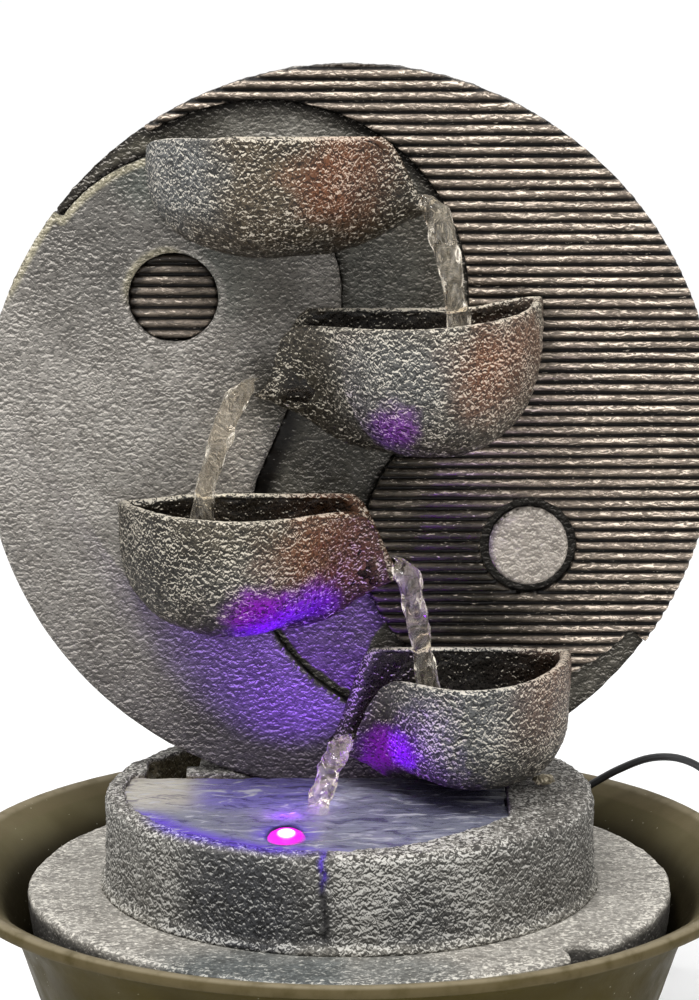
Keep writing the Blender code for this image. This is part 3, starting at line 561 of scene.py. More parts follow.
def panel(name, outline, columns, rows, front, holes=(), back=PANEL_BACK):
    """Sheet on a grid of x and z, from the disc centre, fitted to an outline, with walls that run back.

    front(x, z, distance from the edge) gives the y of the face. Returns the piece and each corner's distance.
    """
    xs, zs = np.meshgrid(columns, rows)
    flat = np.stack([xs.ravel(), zs.ravel()], axis=1)

    def distance(points):
        away = edge_distance(points, outline)
        for x, z, radius in holes:
            away = np.minimum(away, np.hypot(points[:, 0] - x, points[:, 1] - z) - radius)
        return away

    away = fit_to_outline(flat, columns[1] - columns[0], distance)
    ring, held = quads(np.arange(len(flat)).reshape(xs.shape)), quads((away >= 0).reshape(xs.shape))
    whole, three = held.sum(axis=1) == 4, held.sum(axis=1) == 3
    faces = ring[whole].tolist() + ring[three][held[three]].reshape(-1, 3).tolist()
    used, faces = drop_unused(faces, len(flat))
    flat, away = flat[used], away[used]
    corners = np.stack([flat[:, 0], front(flat[:, 0], flat[:, 1], away), flat[:, 1] + DISC_Z], axis=1)
    edges = {(a, b): None for f in faces for a, b in zip(f, f[1:] + f[:1])}
    border = [(a, b) for a, b in edges if (b, a) not in edges]
    lip = sorted({n for pair in border for n in pair})
    at = {n: k for k, n in enumerate(lip)}
    levels = [corners]
    layers = 5
    for layer in range(1, layers + 1):
        wall = corners[lip].copy()
        wall[:, 1] += (back - wall[:, 1]) * layer / layers
        if layer < layers:
            for axis in (0, 2):
                wall[:, axis] += 0.0005 * rough_noise(wall + axis, 0.004, 2)
        start = len(corners) + (layer - 1) * len(lip)
        above = {n: n if layer == 1 else start - len(lip) + at[n] for n in lip}
        faces += [(above[b], above[a], start + at[a], start + at[b]) for a, b in border]
        levels.append(wall)
    depths = [np.full(len(lip), -0.001 * layer) for layer in range(1, layers + 1)]
    piece = add_piece(name, np.concatenate(levels), faces, turn_out=False)
    shape = bmesh.new()
    shape.from_mesh(piece.data)
    bmesh.ops.triangle_fill(shape, use_beauty=True, edges=[e for e in shape.edges if e.is_boundary])
    bmesh.ops.recalc_face_normals(shape, faces=shape.faces)
    shape.to_mesh(piece.data)
    shape.free()
    piece.data.shade_smooth()
    return piece, np.concatenate([away, *depths])


def rounded(away, radius):
    """How far a face falls back near its edge."""
    near = np.clip(radius - away, 0, radius)
    return radius - np.sqrt(np.maximum(radius * radius - near * near, 0))


def on_face(x, z, y=0.0):
    return np.stack([x, np.full_like(x, y), z], axis=1)


def grid_steps(step, low=-DISC_R, high=DISC_R):
    """Even steps from one before low to past high."""
    return np.arange(low - step, high + 2 * step, step)


# ---------------------------------------------------------------- backdrop

GREY = srgb(126, 122, 116)
DARK_GREY = srgb(72, 69, 60)
BLUE_GREY = srgb(98, 103, 106)
# Dark of wet stone, also laid on as painted shade on walls and under the bowls
WET_AND_SHADE_DARK = srgb(46, 43, 35)
RUST = srgb(122, 72, 42)
BLACK_BROWN = srgb(24, 18, 11)
GREEN_GREY = srgb(84, 93, 86)
OLIVE_DARK = srgb(46, 41, 30)


def smooth_front(x, z, away):
    points = on_face(x, z)
    swell = 0.0006 * rough_noise(points, 0.030, 2)
    grain = 0.00025 * rough_noise(points * (0.7, 1, 1), 0.0050, 2)
    return FACE_Y + 0.0003 - swell - grain + rounded(away, 0.0026)


def make_smooth_half():
    edge = within_disc(smooth_edge())
    outline = np.concatenate([edge, rim_arc(rim_angle(edge[-1]), rim_angle(edge[0]), clockwise=True)])
    grid = grid_steps(0.00135)
    hole = (*DOT_LEFT, DOT_LEFT_R + 0.0003)
    piece, away = panel("smooth_stone", outline, grid, grid, smooth_front, holes=[hole])
    points = corners_of(piece)
    x, z = points[:, 0], points[:, 2] - DISC_Z
    face = away >= 0
    wall = smoothstep(-away, 0.0, 0.002)
    low = smoothstep(-z, 0.085, 0.165)
    # Painted shadow below bowl one, where the stone is also wet: less pale paint there, and wetter
    under = spot_weight(points, -0.040, DISC_Z + 0.083, 0.040)
    dot_away = np.hypot(x - DOT_LEFT[0], z - DOT_LEFT[1]) - DOT_LEFT_R
    ring = np.exp(-((dot_away - 0.0024) / 0.0018) ** 2) * face
    upper_left = smoothstep(-x, 0.080, 0.095) * smoothstep(z, 0.060, 0.085)
    strip = np.clip(1 - away / 0.0045, 0, 1) * face * upper_left
    edge_wear = np.clip(1 - away / 0.0025, 0, 1) * face
    # The dark grey spot just below bowl one and the dark spot below bowl two's left end are painted shadow
    tone = spotted(base_tone(points, GREY, 0.16), points, [
        (-0.150, DISC_Z - 0.010, 0.100, srgb(150, 146, 139), 0.5),
        (-0.125, DISC_Z + 0.105, 0.070, srgb(88, 86, 82), 0.65),
        (-0.098, DISC_Z + 0.132, 0.030, GREEN_GREY, 0.55),
        (-0.066, DISC_Z + 0.080, 0.030, GREEN_GREY, 0.45),
        (-0.042, DISC_Z + 0.078, 0.034, DARK_GREY, 0.6),
        (-0.060, DISC_Z - 0.130, 0.060, DARK_GREY, 0.6),
        (-0.034, DISC_Z + 0.020, 0.030, srgb(58, 55, 46), 0.8)])
    tone = tint(tone, srgb(78, 75, 78), 0.7 * low)
    # Painted shade on the walls that run back from the face
    tone = tint(tone, WET_AND_SHADE_DARK, 0.8 * wall)
    tone = tint(tone, srgb(152, 147, 140), 0.6 * ring)
    tone = tint(tone, srgb(160, 153, 128), 0.8 * smoothstep(strip, 0.0, 0.5))
    fleck = 0.50 + 0.12 * patch_noise(points, 0.02, 2) + 0.15 * edge_wear - 0.15 * under - 0.4 * wall
    wet = 0.35 * under + 0.7 * spot_weight(points, -0.040, 0.30, 0.05) + 0.3 * low
    paint(piece, looks["smooth"], tone, fleck, wet)
    settle(piece, "stone_smooth", "smooth_panel")


def rib_height(x, z):
    """Depth of the ribbed face behind its crests, 0 to 1, then how worn and how chipped the crest is."""
    sway = 0.00035 * rough_noise(on_face(x * 0.35, z), 0.022, 2)
    turns = (z + DISC_Z + sway - RIB_LOW) / RIB_PITCH
    phase = turns % 1.0
    depth = np.interp(phase, RIB_PHASES, [1, 0.42, 0.10, 0.0, 0.16, 0.86, 1])
    worn = patch_noise(on_face(x, (np.floor(turns) + 0.5) * RIB_PITCH * 3), 0.020, 2)
    chips = smoothstep(rough_noise(on_face(x * 0.6, z * 2), 0.0070, 2), 0.75, 1.15)
    return depth, worn, chips, phase


def ribbed_front(x, z, away):
    depth, worn, chips, phase = rib_height(x, z)
    fall = GROOVE_DEPTH * depth + 0.0004 + 0.00035 * worn + 0.0006 * chips * (1 - depth)
    grain = 0.00022 * rough_noise(on_face(x * 0.5, z), 0.0035, 2)
    return CREST_Y + fall + grain + rounded(away, 0.0016)


def rib_rows(low, high):
    """Heights, from the disc centre, of a grid's rows that follow the ribs' profile."""
    first, last = math.floor((low - RIB_LOW) / RIB_PITCH), math.ceil((high - RIB_LOW) / RIB_PITCH)
    rows = [(k + phase) * RIB_PITCH + RIB_LOW for k in range(first, last + 1) for phase in RIB_PHASES[:-1]]
    return np.array(rows) - DISC_Z


def paint_ribs(piece, away, shade=0.0):
    points = corners_of(piece)
    depth, worn, chips, phase = rib_height(points[:, 0], points[:, 2] - DISC_Z)
    crest = smoothstep(1 - depth, 0.36, 0.94) * (1 - 0.5 * chips)
    # Upper face of each rib: painted highlight, lighter and with more pale paint, as if lit from above
    upper = smoothstep(phase, 0.22, 0.74)
    light = patch_noise(points * (0.5, 1, 1), 0.045, 3)
    shaded = np.maximum(shade, strongest(points, [
        (0.045, DISC_Z - 0.075, 0.080, 1), (0.015, DISC_Z, 0.065, 1),
        (0.030, DISC_Z - 0.130, 0.050, 0.6), (0.085, 0.395, 0.030, 0.7)]))
    across, up = points[:, 0] - DOT_LEFT[0], points[:, 2] - DISC_Z - DOT_LEFT[1]
    # Painted shadow of the hole's rim: a dark crescent over the ribs at the top left of the sunk dot
    rim_shadow = smoothstep(np.hypot(across - 0.0016, up + 0.0030), DOT_LEFT_R - 0.0035, DOT_LEFT_R - 0.0005)
    rim_shadow = rim_shadow * (np.hypot(across, up) < DOT_LEFT_R + 0.001)
    wall = np.maximum(smoothstep(-away, 0.0, 0.002), 1.2 * rim_shadow)
    tone = base_tone(points, srgb(10, 7, 4), 0.2)
    tone = tint(tone, srgb(178, 162, 146), crest * (0.46 + 0.54 * upper))
    tone = tint(tone, WET_AND_SHADE_DARK, 0.95 * shaded * crest)
    # Painted shade on the walls and in the rim's shadow
    tone = tint(tone, BLACK_BROWN, 0.7 * wall)
    fleck = crest * (0.34 + 0.56 * upper + 0.18 * light + 0.14 * worn) - 0.46 * shaded - 0.35 * wall
    paint(piece, looks["ribs"], tone, fleck, 0.25 + 0.55 * shaded)


def make_ribbed_half():
    edge = within_disc(ribbed_edge())
    outline = np.concatenate([edge, rim_arc(rim_angle(edge[-1]), rim_angle(edge[0]), clockwise=False)])
    step = 0.00115
    columns = np.arange(-DISC_R * 0.75, DISC_R + 2 * step, step)
    rows = rib_rows(DISC_Z - DISC_R * 0.80, DISC_Z + DISC_R + 0.003)
    recess = (*DOT_RIGHT, RIGHT_RECESS_R)
    piece, away = panel("ribbed_stone", outline, columns, rows, ribbed_front, holes=[recess])
    paint_ribs(piece, away)
    settle(piece, "stone_ribbed", "ribbed_panel")


def make_channel():
    """The rough band between the halves, whose ends meet the disc's rim."""
    smooth = within_disc(smooth_edge(0.0006), -0.4)
    ribbed = within_disc(ribbed_edge(0.0006), 0.4)
    outline = np.concatenate([
        smooth, rim_arc(rim_angle(smooth[-1]), rim_angle(ribbed[-1]), clockwise=False),
        ribbed[::-1], rim_arc(rim_angle(ribbed[0]), rim_angle(smooth[0]), clockwise=False)])

    def front(x, z, away):
        swell = 0.0009 * rough_noise(on_face(x, z), 0.018, 2)
        return CHANNEL_Y + 0.0003 - swell - 0.0006 * rough_noise(on_face(x, z), 0.006, 2)

    grid = grid_steps(0.0016)
    piece, away = panel("channel_stone", outline, grid, grid, front)
    points = corners_of(piece)
    # Painted shadow: a dark band along the channel's left edge, where the smooth half's step shades it
    shaded_crack = spot_weight(points, -0.040, DISC_Z - 0.012, 0.050) * np.clip(1.4 - away / 0.009, 0, 1)
    shadow = smoothstep(points[:, 2] - DISC_Z, 0.09, 0.12)
    # Painted shade along the channel's edges below the raised halves, wider near the top under the ribs
    edge_shade = np.clip(1.2 - away / (0.004 + 0.0025 * shadow), 0, 1)
    tone = spotted(base_tone(points, srgb(98, 95, 86), 0.18), points, [
        (0.015, DISC_Z + 0.075, 0.040, srgb(108, 108, 102), 0.8),
        (-0.034, DISC_Z + 0.158, 0.040, srgb(142, 139, 130), 0.9),
        (0.000, DISC_Z - 0.020, 0.040, WET_AND_SHADE_DARK, 0.5)])
    tone = tint(tone, srgb(126, 121, 104), 0.6 * smoothstep(-points[:, 0], 0.085, 0.100) * shadow)
    tone = tint(tone, BLACK_BROWN, (0.6 + 0.35 * shadow) * edge_shade)
    tone = tint(tone, BLACK_BROWN, np.minimum(1.3 * shaded_crack, 1.0))
    fleck = 0.50 + 0.14 * patch_noise(points, 0.02, 2) - 0.6 * shaded_crack
    paint(piece, looks["smooth"], tone, fleck, 0.55 * spot_weight(points, 0.0, DISC_Z, 0.09))
    settle(piece, "stone_smooth", "stone_channel")


def make_dots():
    """The ribbed dot, sunk into the smooth half, and the smooth one with its rolled edge."""
    circle = on_circle(1.0, np.arange(0, 360, 4.0))
    step = 0.0011
    dot_back = PANEL_BACK - 0.002
    columns = grid_steps(step, -DOT_LEFT_R, DOT_LEFT_R) + DOT_LEFT[0]
    middle_z = DISC_Z + DOT_LEFT[1]
    rows = rib_rows(middle_z - DOT_LEFT_R - 0.002, middle_z + DOT_LEFT_R + 0.002)

    def sunk(x, z, away):
        return ribbed_front(x, z, away) + 0.0026

    outline = circle * DOT_LEFT_R + DOT_LEFT
    piece, away = panel("ribbed_dot_stone", outline, columns, rows, sunk, back=dot_back)
    # Painted shade over the whole sunk dot
    paint_ribs(piece, away, 0.45)
    settle(piece, "stone_ribbed", "ribbed_dot")

    def dome(x, z, away):
        lip = 0.0014 * np.exp(-((away - 0.0022) / 0.0014) ** 2)
        return FACE_Y + 0.0016 - lip - 0.0006 * rough_noise(on_face(x, z), 0.006, 2) + rounded(away, 0.0022)

    grid = grid_steps(step, -DOT_RIGHT_R, DOT_RIGHT_R)
    piece, away = panel("smooth_dot_stone", circle * DOT_RIGHT_R + DOT_RIGHT, grid + DOT_RIGHT[0],
                        grid + DOT_RIGHT[1], dome, back=dot_back)
    wall = smoothstep(-away, 0, 0.002)
    # Painted shade on the wall round the smooth dot
    tone = tint(base_tone(corners_of(piece), srgb(180, 171, 161), 0.18, 0.012), BLACK_BROWN, wall)
    paint(piece, looks["slab"], tone, 0.62 - 0.5 * wall, 0.0)
    settle(piece, "stone_smooth", "smooth_dot")


def remeshed(name, node, voxel):
    """Copy of a CAD node as an even mesh with softened edges."""
    copy = add_object(name, nodes[node].data.copy())
    weld = copy.modifiers.new("weld", "WELD")
    weld.merge_threshold = 0.00001
    remesh = copy.modifiers.new("remesh", "REMESH")
    remesh.mode = "VOXEL"
    remesh.voxel_size = voxel
    soften = copy.modifiers.new("soften", "SMOOTH")
    soften.factor = 0.5
    soften.iterations = 3
    mesh = bpy.data.meshes.new_from_object(copy.evaluated_get(bpy.context.evaluated_depsgraph_get()))
    copy.modifiers.clear()
    copy.data = mesh
    mesh.name = name
    mesh.materials.clear()
    mesh.shade_smooth()
    return copy


def make_shell():
    """The disc's back, rough only on its rim, where no panel lies against it."""
    piece = remeshed("shell_stone", "backdrop_shell", 0.0022)
    points = corners_of(piece)
    radius = np.hypot(points[:, 0], points[:, 2] - DISC_Z)
    relief = 0.0007 * rough_noise(points, 0.010, 2) + 0.0004 * rough_noise(points, 0.004, 2) - 0.0004
    points = push_out(piece, relief * smoothstep(radius, 0.172, 0.180))
    inside = (points[:, 1] < SHELL_BACK - 0.004) & (radius < 0.176)
    tone = tint(base_tone(points, srgb(104, 100, 94), 0.18), srgb(70, 67, 62), 0.5 * inside)
    paint(piece, looks["smooth"], tone, 0.42 + 0.14 * patch_noise(points, 0.02, 2), 0.0)
    settle(piece, "stone_base", "backdrop_shell")


# ---------------------------------------------------------------- bowls

def fall_off(angle, start, spread):
    """1 up to an angle from the mouth, falling away past it."""
    return np.exp(-((np.maximum(angle, start) - start) / spread) ** 2)


def bowl_loop(name, depth, inset, back, lower=0.0, around=150, across=34):
    """One level of a bowl: a half ellipse in front of the disc, closed by a straight back."""
    centre, rim, half, reach, height, side, length, drop = BOWLS[name]
    fullness, fall_start, fall_spread, whole, far_end, far_corner, front = RIMS[name]
    floor = rim - height + inset
    shrink = math.sqrt(max(0.0, 1 - depth ** fullness))
    angle = math.pi * (np.arange(around) / (around - 1)) ** 1.25
    weight = fall_off(angle, SPOUT_ANGLE, SPOUT_SPREAD) * (1 - MOUTH_PINCH * np.sin(angle))
    x = shrink * (half - inset) * np.cos(angle) + weight * length * (1 - depth) ** SPOUT_SHARPNESS
    y = back - (shrink * (reach - inset) - (BOWL_BACK - back)) * np.sin(angle)
    top = rim + whole - lower - drop * fall_off(angle, fall_start, fall_spread) - far_end * np.cos(angle)
    top += front * np.sin(angle) + far_corner * fall_off(math.pi - angle, 0, CORNER_SPREAD)
    z = floor + (1 - depth) * (top - floor)
    part = np.arange(1, across) / across
    back_x = x[-1] + (x[0] - x[-1]) * part
    level = z[-1] + (1 - depth) * (rim + whole - lower - z[-1]) * smoothstep(part / BACK_RISE)
    back_z = z[0] + (level - z[0]) * smoothstep((1 - part) / BACK_FALL)
    x, y, z = np.append(x, back_x), np.append(y, np.full(across - 1, back)), np.append(z, back_z)
    return np.stack([centre + side * x, y, z], axis=1)


def even_depths(count, last, fullness):
    """Depths that space a bowl's levels evenly along its side, from the rim to its bottom."""
    turn = np.linspace(0, math.pi / 2, 900)
    depth = np.sin(turn) ** (2 / fullness)
    side = np.cos(turn)
    squash = 1.25
    length = np.concatenate([[0], np.cumsum(np.hypot(np.diff(depth) * squash, np.diff(side)))])
    keep = depth <= last
    return np.interp(np.linspace(0, length[keep][-1], count), length[keep], depth[keep])


def skin(loops):
    """Corners and faces of a closed skin through equal loops, with both ends fanned."""
    count = len(loops[0])
    corners = np.concatenate(loops)
    faces = loop_faces(len(loops), count)
    ends = []
    for start, order in ((0, -1), ((len(loops) - 1) * count, 1)):
        tip = len(corners) + len(ends)
        ends.append(corners[start:start + count].mean(axis=0))
        faces += [(start + k, start + (k + 1) % count, tip)[::order] for k in range(count)]
    return np.concatenate([corners, np.array(ends)]), faces


# Pigment of each bowl, then spots of another: x, z, radius, colour, strength
BOWL_TONES = {
    "bowl_first": (srgb(84, 73, 57), [
        (-0.090, 0.475, 0.0442, BLUE_GREY, 0.75), (0.002, 0.474, 0.0390, RUST, 0.9),
        (0.030, 0.458, 0.0338, OLIVE_DARK, 0.8)]),
    "bowl_second": (srgb(92, 85, 74), [
        (0.020, 0.375, 0.0520, BLUE_GREY, 0.55), (0.074, 0.382, 0.0364, RUST, 0.8),
        (0.092, 0.365, 0.0338, OLIVE_DARK, 0.6), (-0.024, 0.370, 0.0338, OLIVE_DARK, 0.9)]),
    "bowl_third": (srgb(82, 76, 64), [
        (-0.106, 0.285, 0.0546, srgb(34, 30, 22), 1.0), (-0.004, 0.290, 0.0468, RUST, 1.0),
        (-0.050, 0.270, 0.0390, BLUE_GREY, 0.3)]),
    "bowl_fourth": (srgb(90, 84, 76), [
        (0.098, 0.215, 0.0338, RUST, 0.5), (0.050, 0.210, 0.0585, BLUE_GREY, 0.65),
        (0.105, 0.195, 0.0390, OLIVE_DARK, 0.5), (0.018, 0.190, 0.0338, BLACK_BROWN, 0.9)]),
}
# Painted violet lamp light on the wet undersides: x, z, radius, strength
PAINTED_LAMP_LIGHT = {
    "bowl_second": [(0.022, 0.3545, 0.016, 0.45)],
    "bowl_third": [(-0.044, 0.2620, 0.022, 0.9), (-0.020, 0.2650, 0.018, 0.5)],
    "bowl_fourth": [(0.020, 0.1900, 0.018, 0.9), (0.012, 0.1790, 0.012, 0.8)],
}
OUTSIDE_LEVELS, LIP_LEVELS, INSIDE_LEVELS = 74, 6, 36
RIM_LOWER = 0.0018                 # how far the finished rim lies below the CAD's


def make_bowl(name):
    """Outside from the bottom up, over the lip, and down the inside, as one skin of level loops."""
    centre, rim, half, _, height, side, _, _ = BOWLS[name]
    fullness = RIMS[name][0]
    loops = [bowl_loop(name, depth, 0.0, BOWL_BACK, RIM_LOWER)
             for depth in even_depths(OUTSIDE_LEVELS, 0.998, fullness)[::-1]]
    for part in (0.06, 0.2, 0.4, 0.6, 0.8, 0.94):
        back = BOWL_BACK + (INNER_BACK - BOWL_BACK) * part
        lower = RIM_LOWER * (1 - math.sin(math.pi * part) ** 0.6)
        loops.append(bowl_loop(name, 0.0, BOWL_WALL * part, back, lower))
    loops += [bowl_loop(name, depth, BOWL_WALL, INNER_BACK, RIM_LOWER)
              for depth in even_depths(INSIDE_LEVELS, 0.99, fullness)]
    piece = add_piece(name + "_stone", *skin(loops))
    points, normals = corners_of(piece), normals_of(piece)
    row = np.minimum(np.arange(len(points)) // len(loops[0]), len(loops) - 1)
    from_lip = row - (OUTSIDE_LEVELS + LIP_LEVELS / 2)
    free = smoothstep(BOWL_BACK - points[:, 1], 0.0002, 0.003) * (1 - 0.75 * np.exp(-(from_lip / 3.4) ** 2))
    relief = 0.0007 * rough_noise(points, 0.020, 2) + 0.0007 * (ridged(points, 0.0062) - 0.6)
    relief += 0.0004 * rough_noise(points, 0.0034)
    points = points + normals * ((relief - 0.0003) * free)[:, None]
    points[:, 1] = np.minimum(points[:, 1], FACE_Y + 0.0012)
    move_corners(piece, points)
    inside = smoothstep(row, OUTSIDE_LEVELS + LIP_LEVELS - 1, OUTSIDE_LEVELS + LIP_LEVELS + 2)
    below = smoothstep(rim - points[:, 2], 0.50 * height, 1.02 * height)
    toward_tip = smoothstep(side * (points[:, 0] - centre), 0.45 * half, 1.25 * half)
    pigment, spots = BOWL_TONES[name]
    tone = spotted(base_tone(points, pigment, 0.22, 0.02), points, spots)
    # Darker lower down: painted shade on the undersides, with wet stone
    tone = tint(tone, srgb(36, 31, 25), 0.88 * below)
    tone = tint(tone, srgb(52, 46, 34), 0.5 * toward_tip)
    tone = tint(tone, BLACK_BROWN, 0.90 * inside)
    fleck = 0.50 + 0.16 * patch_noise(points, 0.018, 2) - 0.24 * below - 0.13 * toward_tip - 0.42 * inside
    fleck += 0.65 * np.exp(-(from_lip / 1.9) ** 2) * (1 - 0.55 * toward_tip)
    for x, z, radius, strength in PAINTED_LAMP_LIGHT.get(name, ()):
        # Violet lamp light painted into the tone, with less pale paint
        shine = strength * spot_weight(points, x, z, radius) * (row < OUTSIDE_LEVELS)
        tone = tint(tone, srgb(158, 10, 206), shine)
        fleck -= 0.30 * shine
    paint(piece, looks["bowl"], tone, fleck, 0.30 + 0.25 * below + 0.6 * inside + 0.3 * toward_tip)
    settle(piece, "stone_bowl", name)


# ---------------------------------------------------------------- slab, drum and stones

def level_loop(turn, radius, height):
    """Points round the middle at one height, at the angles in turn."""
    return np.stack([radius * np.cos(turn), radius * np.sin(turn), np.full(len(turn), height)], axis=1)


def make_slab():
    """Slab as rings about its hole, with ragged notches in its edge for the drain and the cord."""
    around, hole, soft = 600, 0.100, 0.003
    turn = np.linspace(0, 2 * math.pi, around, endpoint=False)
    edge = level_loop(turn, SLAB_R, 0.0)
    outer = SLAB_R - 0.0003 + 0.0007 * rough_noise(edge, 0.03, 3)
    ragged = 0.0022 * rough_noise(edge, 0.006, 2)
    width = 0.012
    for angle, depth in ((DRAIN_ANGLE, 0.014), (CABLE_ANGLE, 0.019)):
        off = np.abs((turn - angle + math.pi) % (2 * math.pi) - math.pi) * SLAB_R
        notch = depth * (1 - smoothstep(off, width * 0.25, width * 0.95)) + ragged * (off < width)
        outer -= np.clip(notch, 0, depth)
    rings = [(hole, SLAB_LOW), (hole, (SLAB_LOW + SLAB_TOP) / 2)]
    rings += [(hole + part * (outer - hole), SLAB_TOP) for part in (0.0, 0.15, 0.3, 0.45)]
    rings += [(hole + part * (outer - soft - hole), SLAB_TOP) for part in np.linspace(0.5, 1.0, 22)[:-1]]
    rings += [(outer - soft * (1 - math.sin(lean)), SLAB_TOP - soft * (1 - math.cos(lean)))
              for lean in np.linspace(0, math.pi / 2, 6)]
    rings += [(outer - soft * part ** 2, SLAB_TOP - soft - part * (SLAB_TOP - soft - SLAB_LOW))
              for part in np.linspace(0, 1, 14)[1:]]
    rings.append((hole + 0.6 * (outer - hole), SLAB_LOW))
    corners = np.concatenate([level_loop(turn, radius, height) for radius, height in rings])
    piece = add_piece("slab_stone", corners, loop_faces(len(rings), around, wrap=True))
    points = corners_of(piece)
    free = smoothstep(points[:, 2], SLAB_LOW, SLAB_LOW + 0.004)
    free *= smoothstep(np.hypot(points[:, 0], points[:, 1]), 0.128, 0.134)
    relief = 0.0005 * rough_noise(points, 0.022, 2) + 0.00025 * rough_noise(points, 0.0045, 2) - 0.0004
    points = push_out(piece, relief * free)
    radius = np.hypot(points[:, 0], points[:, 1])
    side = smoothstep(SLAB_TOP - points[:, 2], 0.002, 0.006)
    dark = strongest(points, [
        (-0.052, SLAB_TOP, 0.060, 1, -0.148), (0.020, SLAB_TOP, 0.050, 0.7, -0.150),
        (-0.020, SLAB_TOP, 0.045, 1, -0.150)])
    drain = spot_weight(points, 0.113, SLAB_TOP, 0.020, y=-0.117)
    tone = tint(base_tone(points, srgb(158, 154, 146), 0.10, 0.03), srgb(92, 97, 97), 0.92 * dark)
    # Painted shade down the slab's side, in the gap by the tub's wall
    tone = tint(tone, srgb(52, 50, 50), 0.8 * side)
    # Painted shade in the drain notch
    tone = tint(tone, BLACK_BROWN, drain * side)
    rim = np.exp(-((points[:, 2] - SLAB_TOP + 0.0008) / 0.0009) ** 2) * smoothstep(radius, 0.150, 0.158)
    fleck = 0.56 + 0.10 * patch_noise(points, 0.02, 2) - 0.14 * dark + 0.25 * rim - 0.25 * side
    paint(piece, looks["slab"], tone, fleck, 0.75 * dark + 0.3 * side)
    settle(piece, "stone_base", "base_slab")


def make_drum():
    """Pool drum, split down its front with painted shade in the split, and the wet patch on its front.
    Its top has a painted highlight, and the lamp's violet light is painted on the top's inner edge.
    """
    piece = remeshed("drum_stone", "pool_drum", 0.00155)
    points, normals = corners_of(piece), normals_of(piece)
    radius = np.hypot(points[:, 0], points[:, 1])
    free = smoothstep(points[:, 2], DRUM_LOW + 0.001, DRUM_LOW + 0.006) * smoothstep(radius, 0.07, 0.10)
    relief = 0.0007 * rough_noise(points, 0.022, 2) + 0.0006 * (ridged(points, 0.0060) - 0.6)
    relief += 0.00035 * rough_noise(points, 0.0032)
    low_edge = smoothstep(radius, DRUM_R - 0.002, DRUM_R) * smoothstep(0.126 - points[:, 2], 0.0, 0.006)
    relief += 0.0012 * low_edge * rough_noise(points, 0.009, 2)
    crack_x = -0.0125 + 0.0025 * rough_noise(on_face(points[:, 2], points[:, 2]), 0.012, 2)
    shaded_crack = np.exp(-((points[:, 0] - crack_x) / 0.0013) ** 2) * (points[:, 1] < -0.10)
    relief -= 0.0013 * shaded_crack
    points = points + normals * ((relief - 0.0003) * free)[:, None]
    points[:, 2] -= 0.0007 * (points[:, 2] < DRUM_LOW + 0.001) * (radius > DRUM_R - 0.004)
    move_corners(piece, points)
    points = corners_of(piece)
    x, y, z = points.T
    front = smoothstep(-y, 0.0, 0.06)
    inner = smoothstep(0.1165 - radius, 0.0, 0.002) * (z < DRUM_TOP - 0.002)
    hollow = inner * smoothstep(-x, 0.055, 0.07) * smoothstep(y, 0.015, 0.025)
    top = smoothstep(z, DRUM_TOP - 0.004, DRUM_TOP - 0.001)
    right = smoothstep(x, 0.055, 0.11) * front
    wet = strongest(points, [(-0.050, 0.138, 0.060, 1, -0.112), (0.035, 0.130, 0.035, 0.6, -0.120)])
    foot = smoothstep(DRUM_LOW + 0.0060 - z, 0, 0.0035) * smoothstep(radius, DRUM_R - 0.002, DRUM_R)
    puddle = foot * smoothstep(-0.02 - x, 0, 0.01) * smoothstep(x, -0.10, -0.085) * (y < 0)
    dry_front = smoothstep(x, -0.012, 0.0) * smoothstep(0.075 - x, 0.0, 0.02) * front
    # Painted violet lamp light on the front left of the top's inner edge, and at the top of the split
    lit_edge = smoothstep(-0.004 - x, 0.0, 0.03) * smoothstep(x, -0.105, -0.085) * smoothstep(-y, 0.03, 0.06)
    lit_edge *= smoothstep(z, DRUM_TOP - 0.010, DRUM_TOP - 0.002)
    lit_edge *= smoothstep(DRUM_R - 0.0005 - radius, 0, 0.006)
    lit_edge = np.maximum(lit_edge, shaded_crack * smoothstep(z, DRUM_TOP - 0.020, DRUM_TOP - 0.006))
    tone = base_tone(points, srgb(118, 116, 111), 0.16, 0.02)
    # Among these: painted shade in the split, a painted highlight along the top and the painted violet lamp
    # light
    for colour, weight in (
            (srgb(54, 56, 62), 0.85 * wet), (srgb(26, 24, 28), 0.9 * shaded_crack), (srgb(38, 36, 36), 0.7 * inner),
            (srgb(118, 108, 84), 0.9 * hollow), (srgb(132, 127, 120), 0.5 * top),
            (srgb(92, 89, 84), 0.6 * right), (srgb(146, 142, 132), 0.65 * foot * (1 - puddle)),
            (srgb(96, 62, 214), 0.75 * lit_edge)):
        tone = tint(tone, colour, weight)
    fleck = 0.59 + 0.13 * patch_noise(points, 0.015, 2) - 0.22 * wet + 0.02 * top + 0.16 * dry_front
    fleck += 0.30 * puddle - 0.4 * inner - 0.10 * right - 0.6 * shaded_crack
    paint(piece, looks["drum"], tone, fleck, 0.8 * wet + 0.8 * inner)
    settle(piece, "stone_base", "pool_drum")


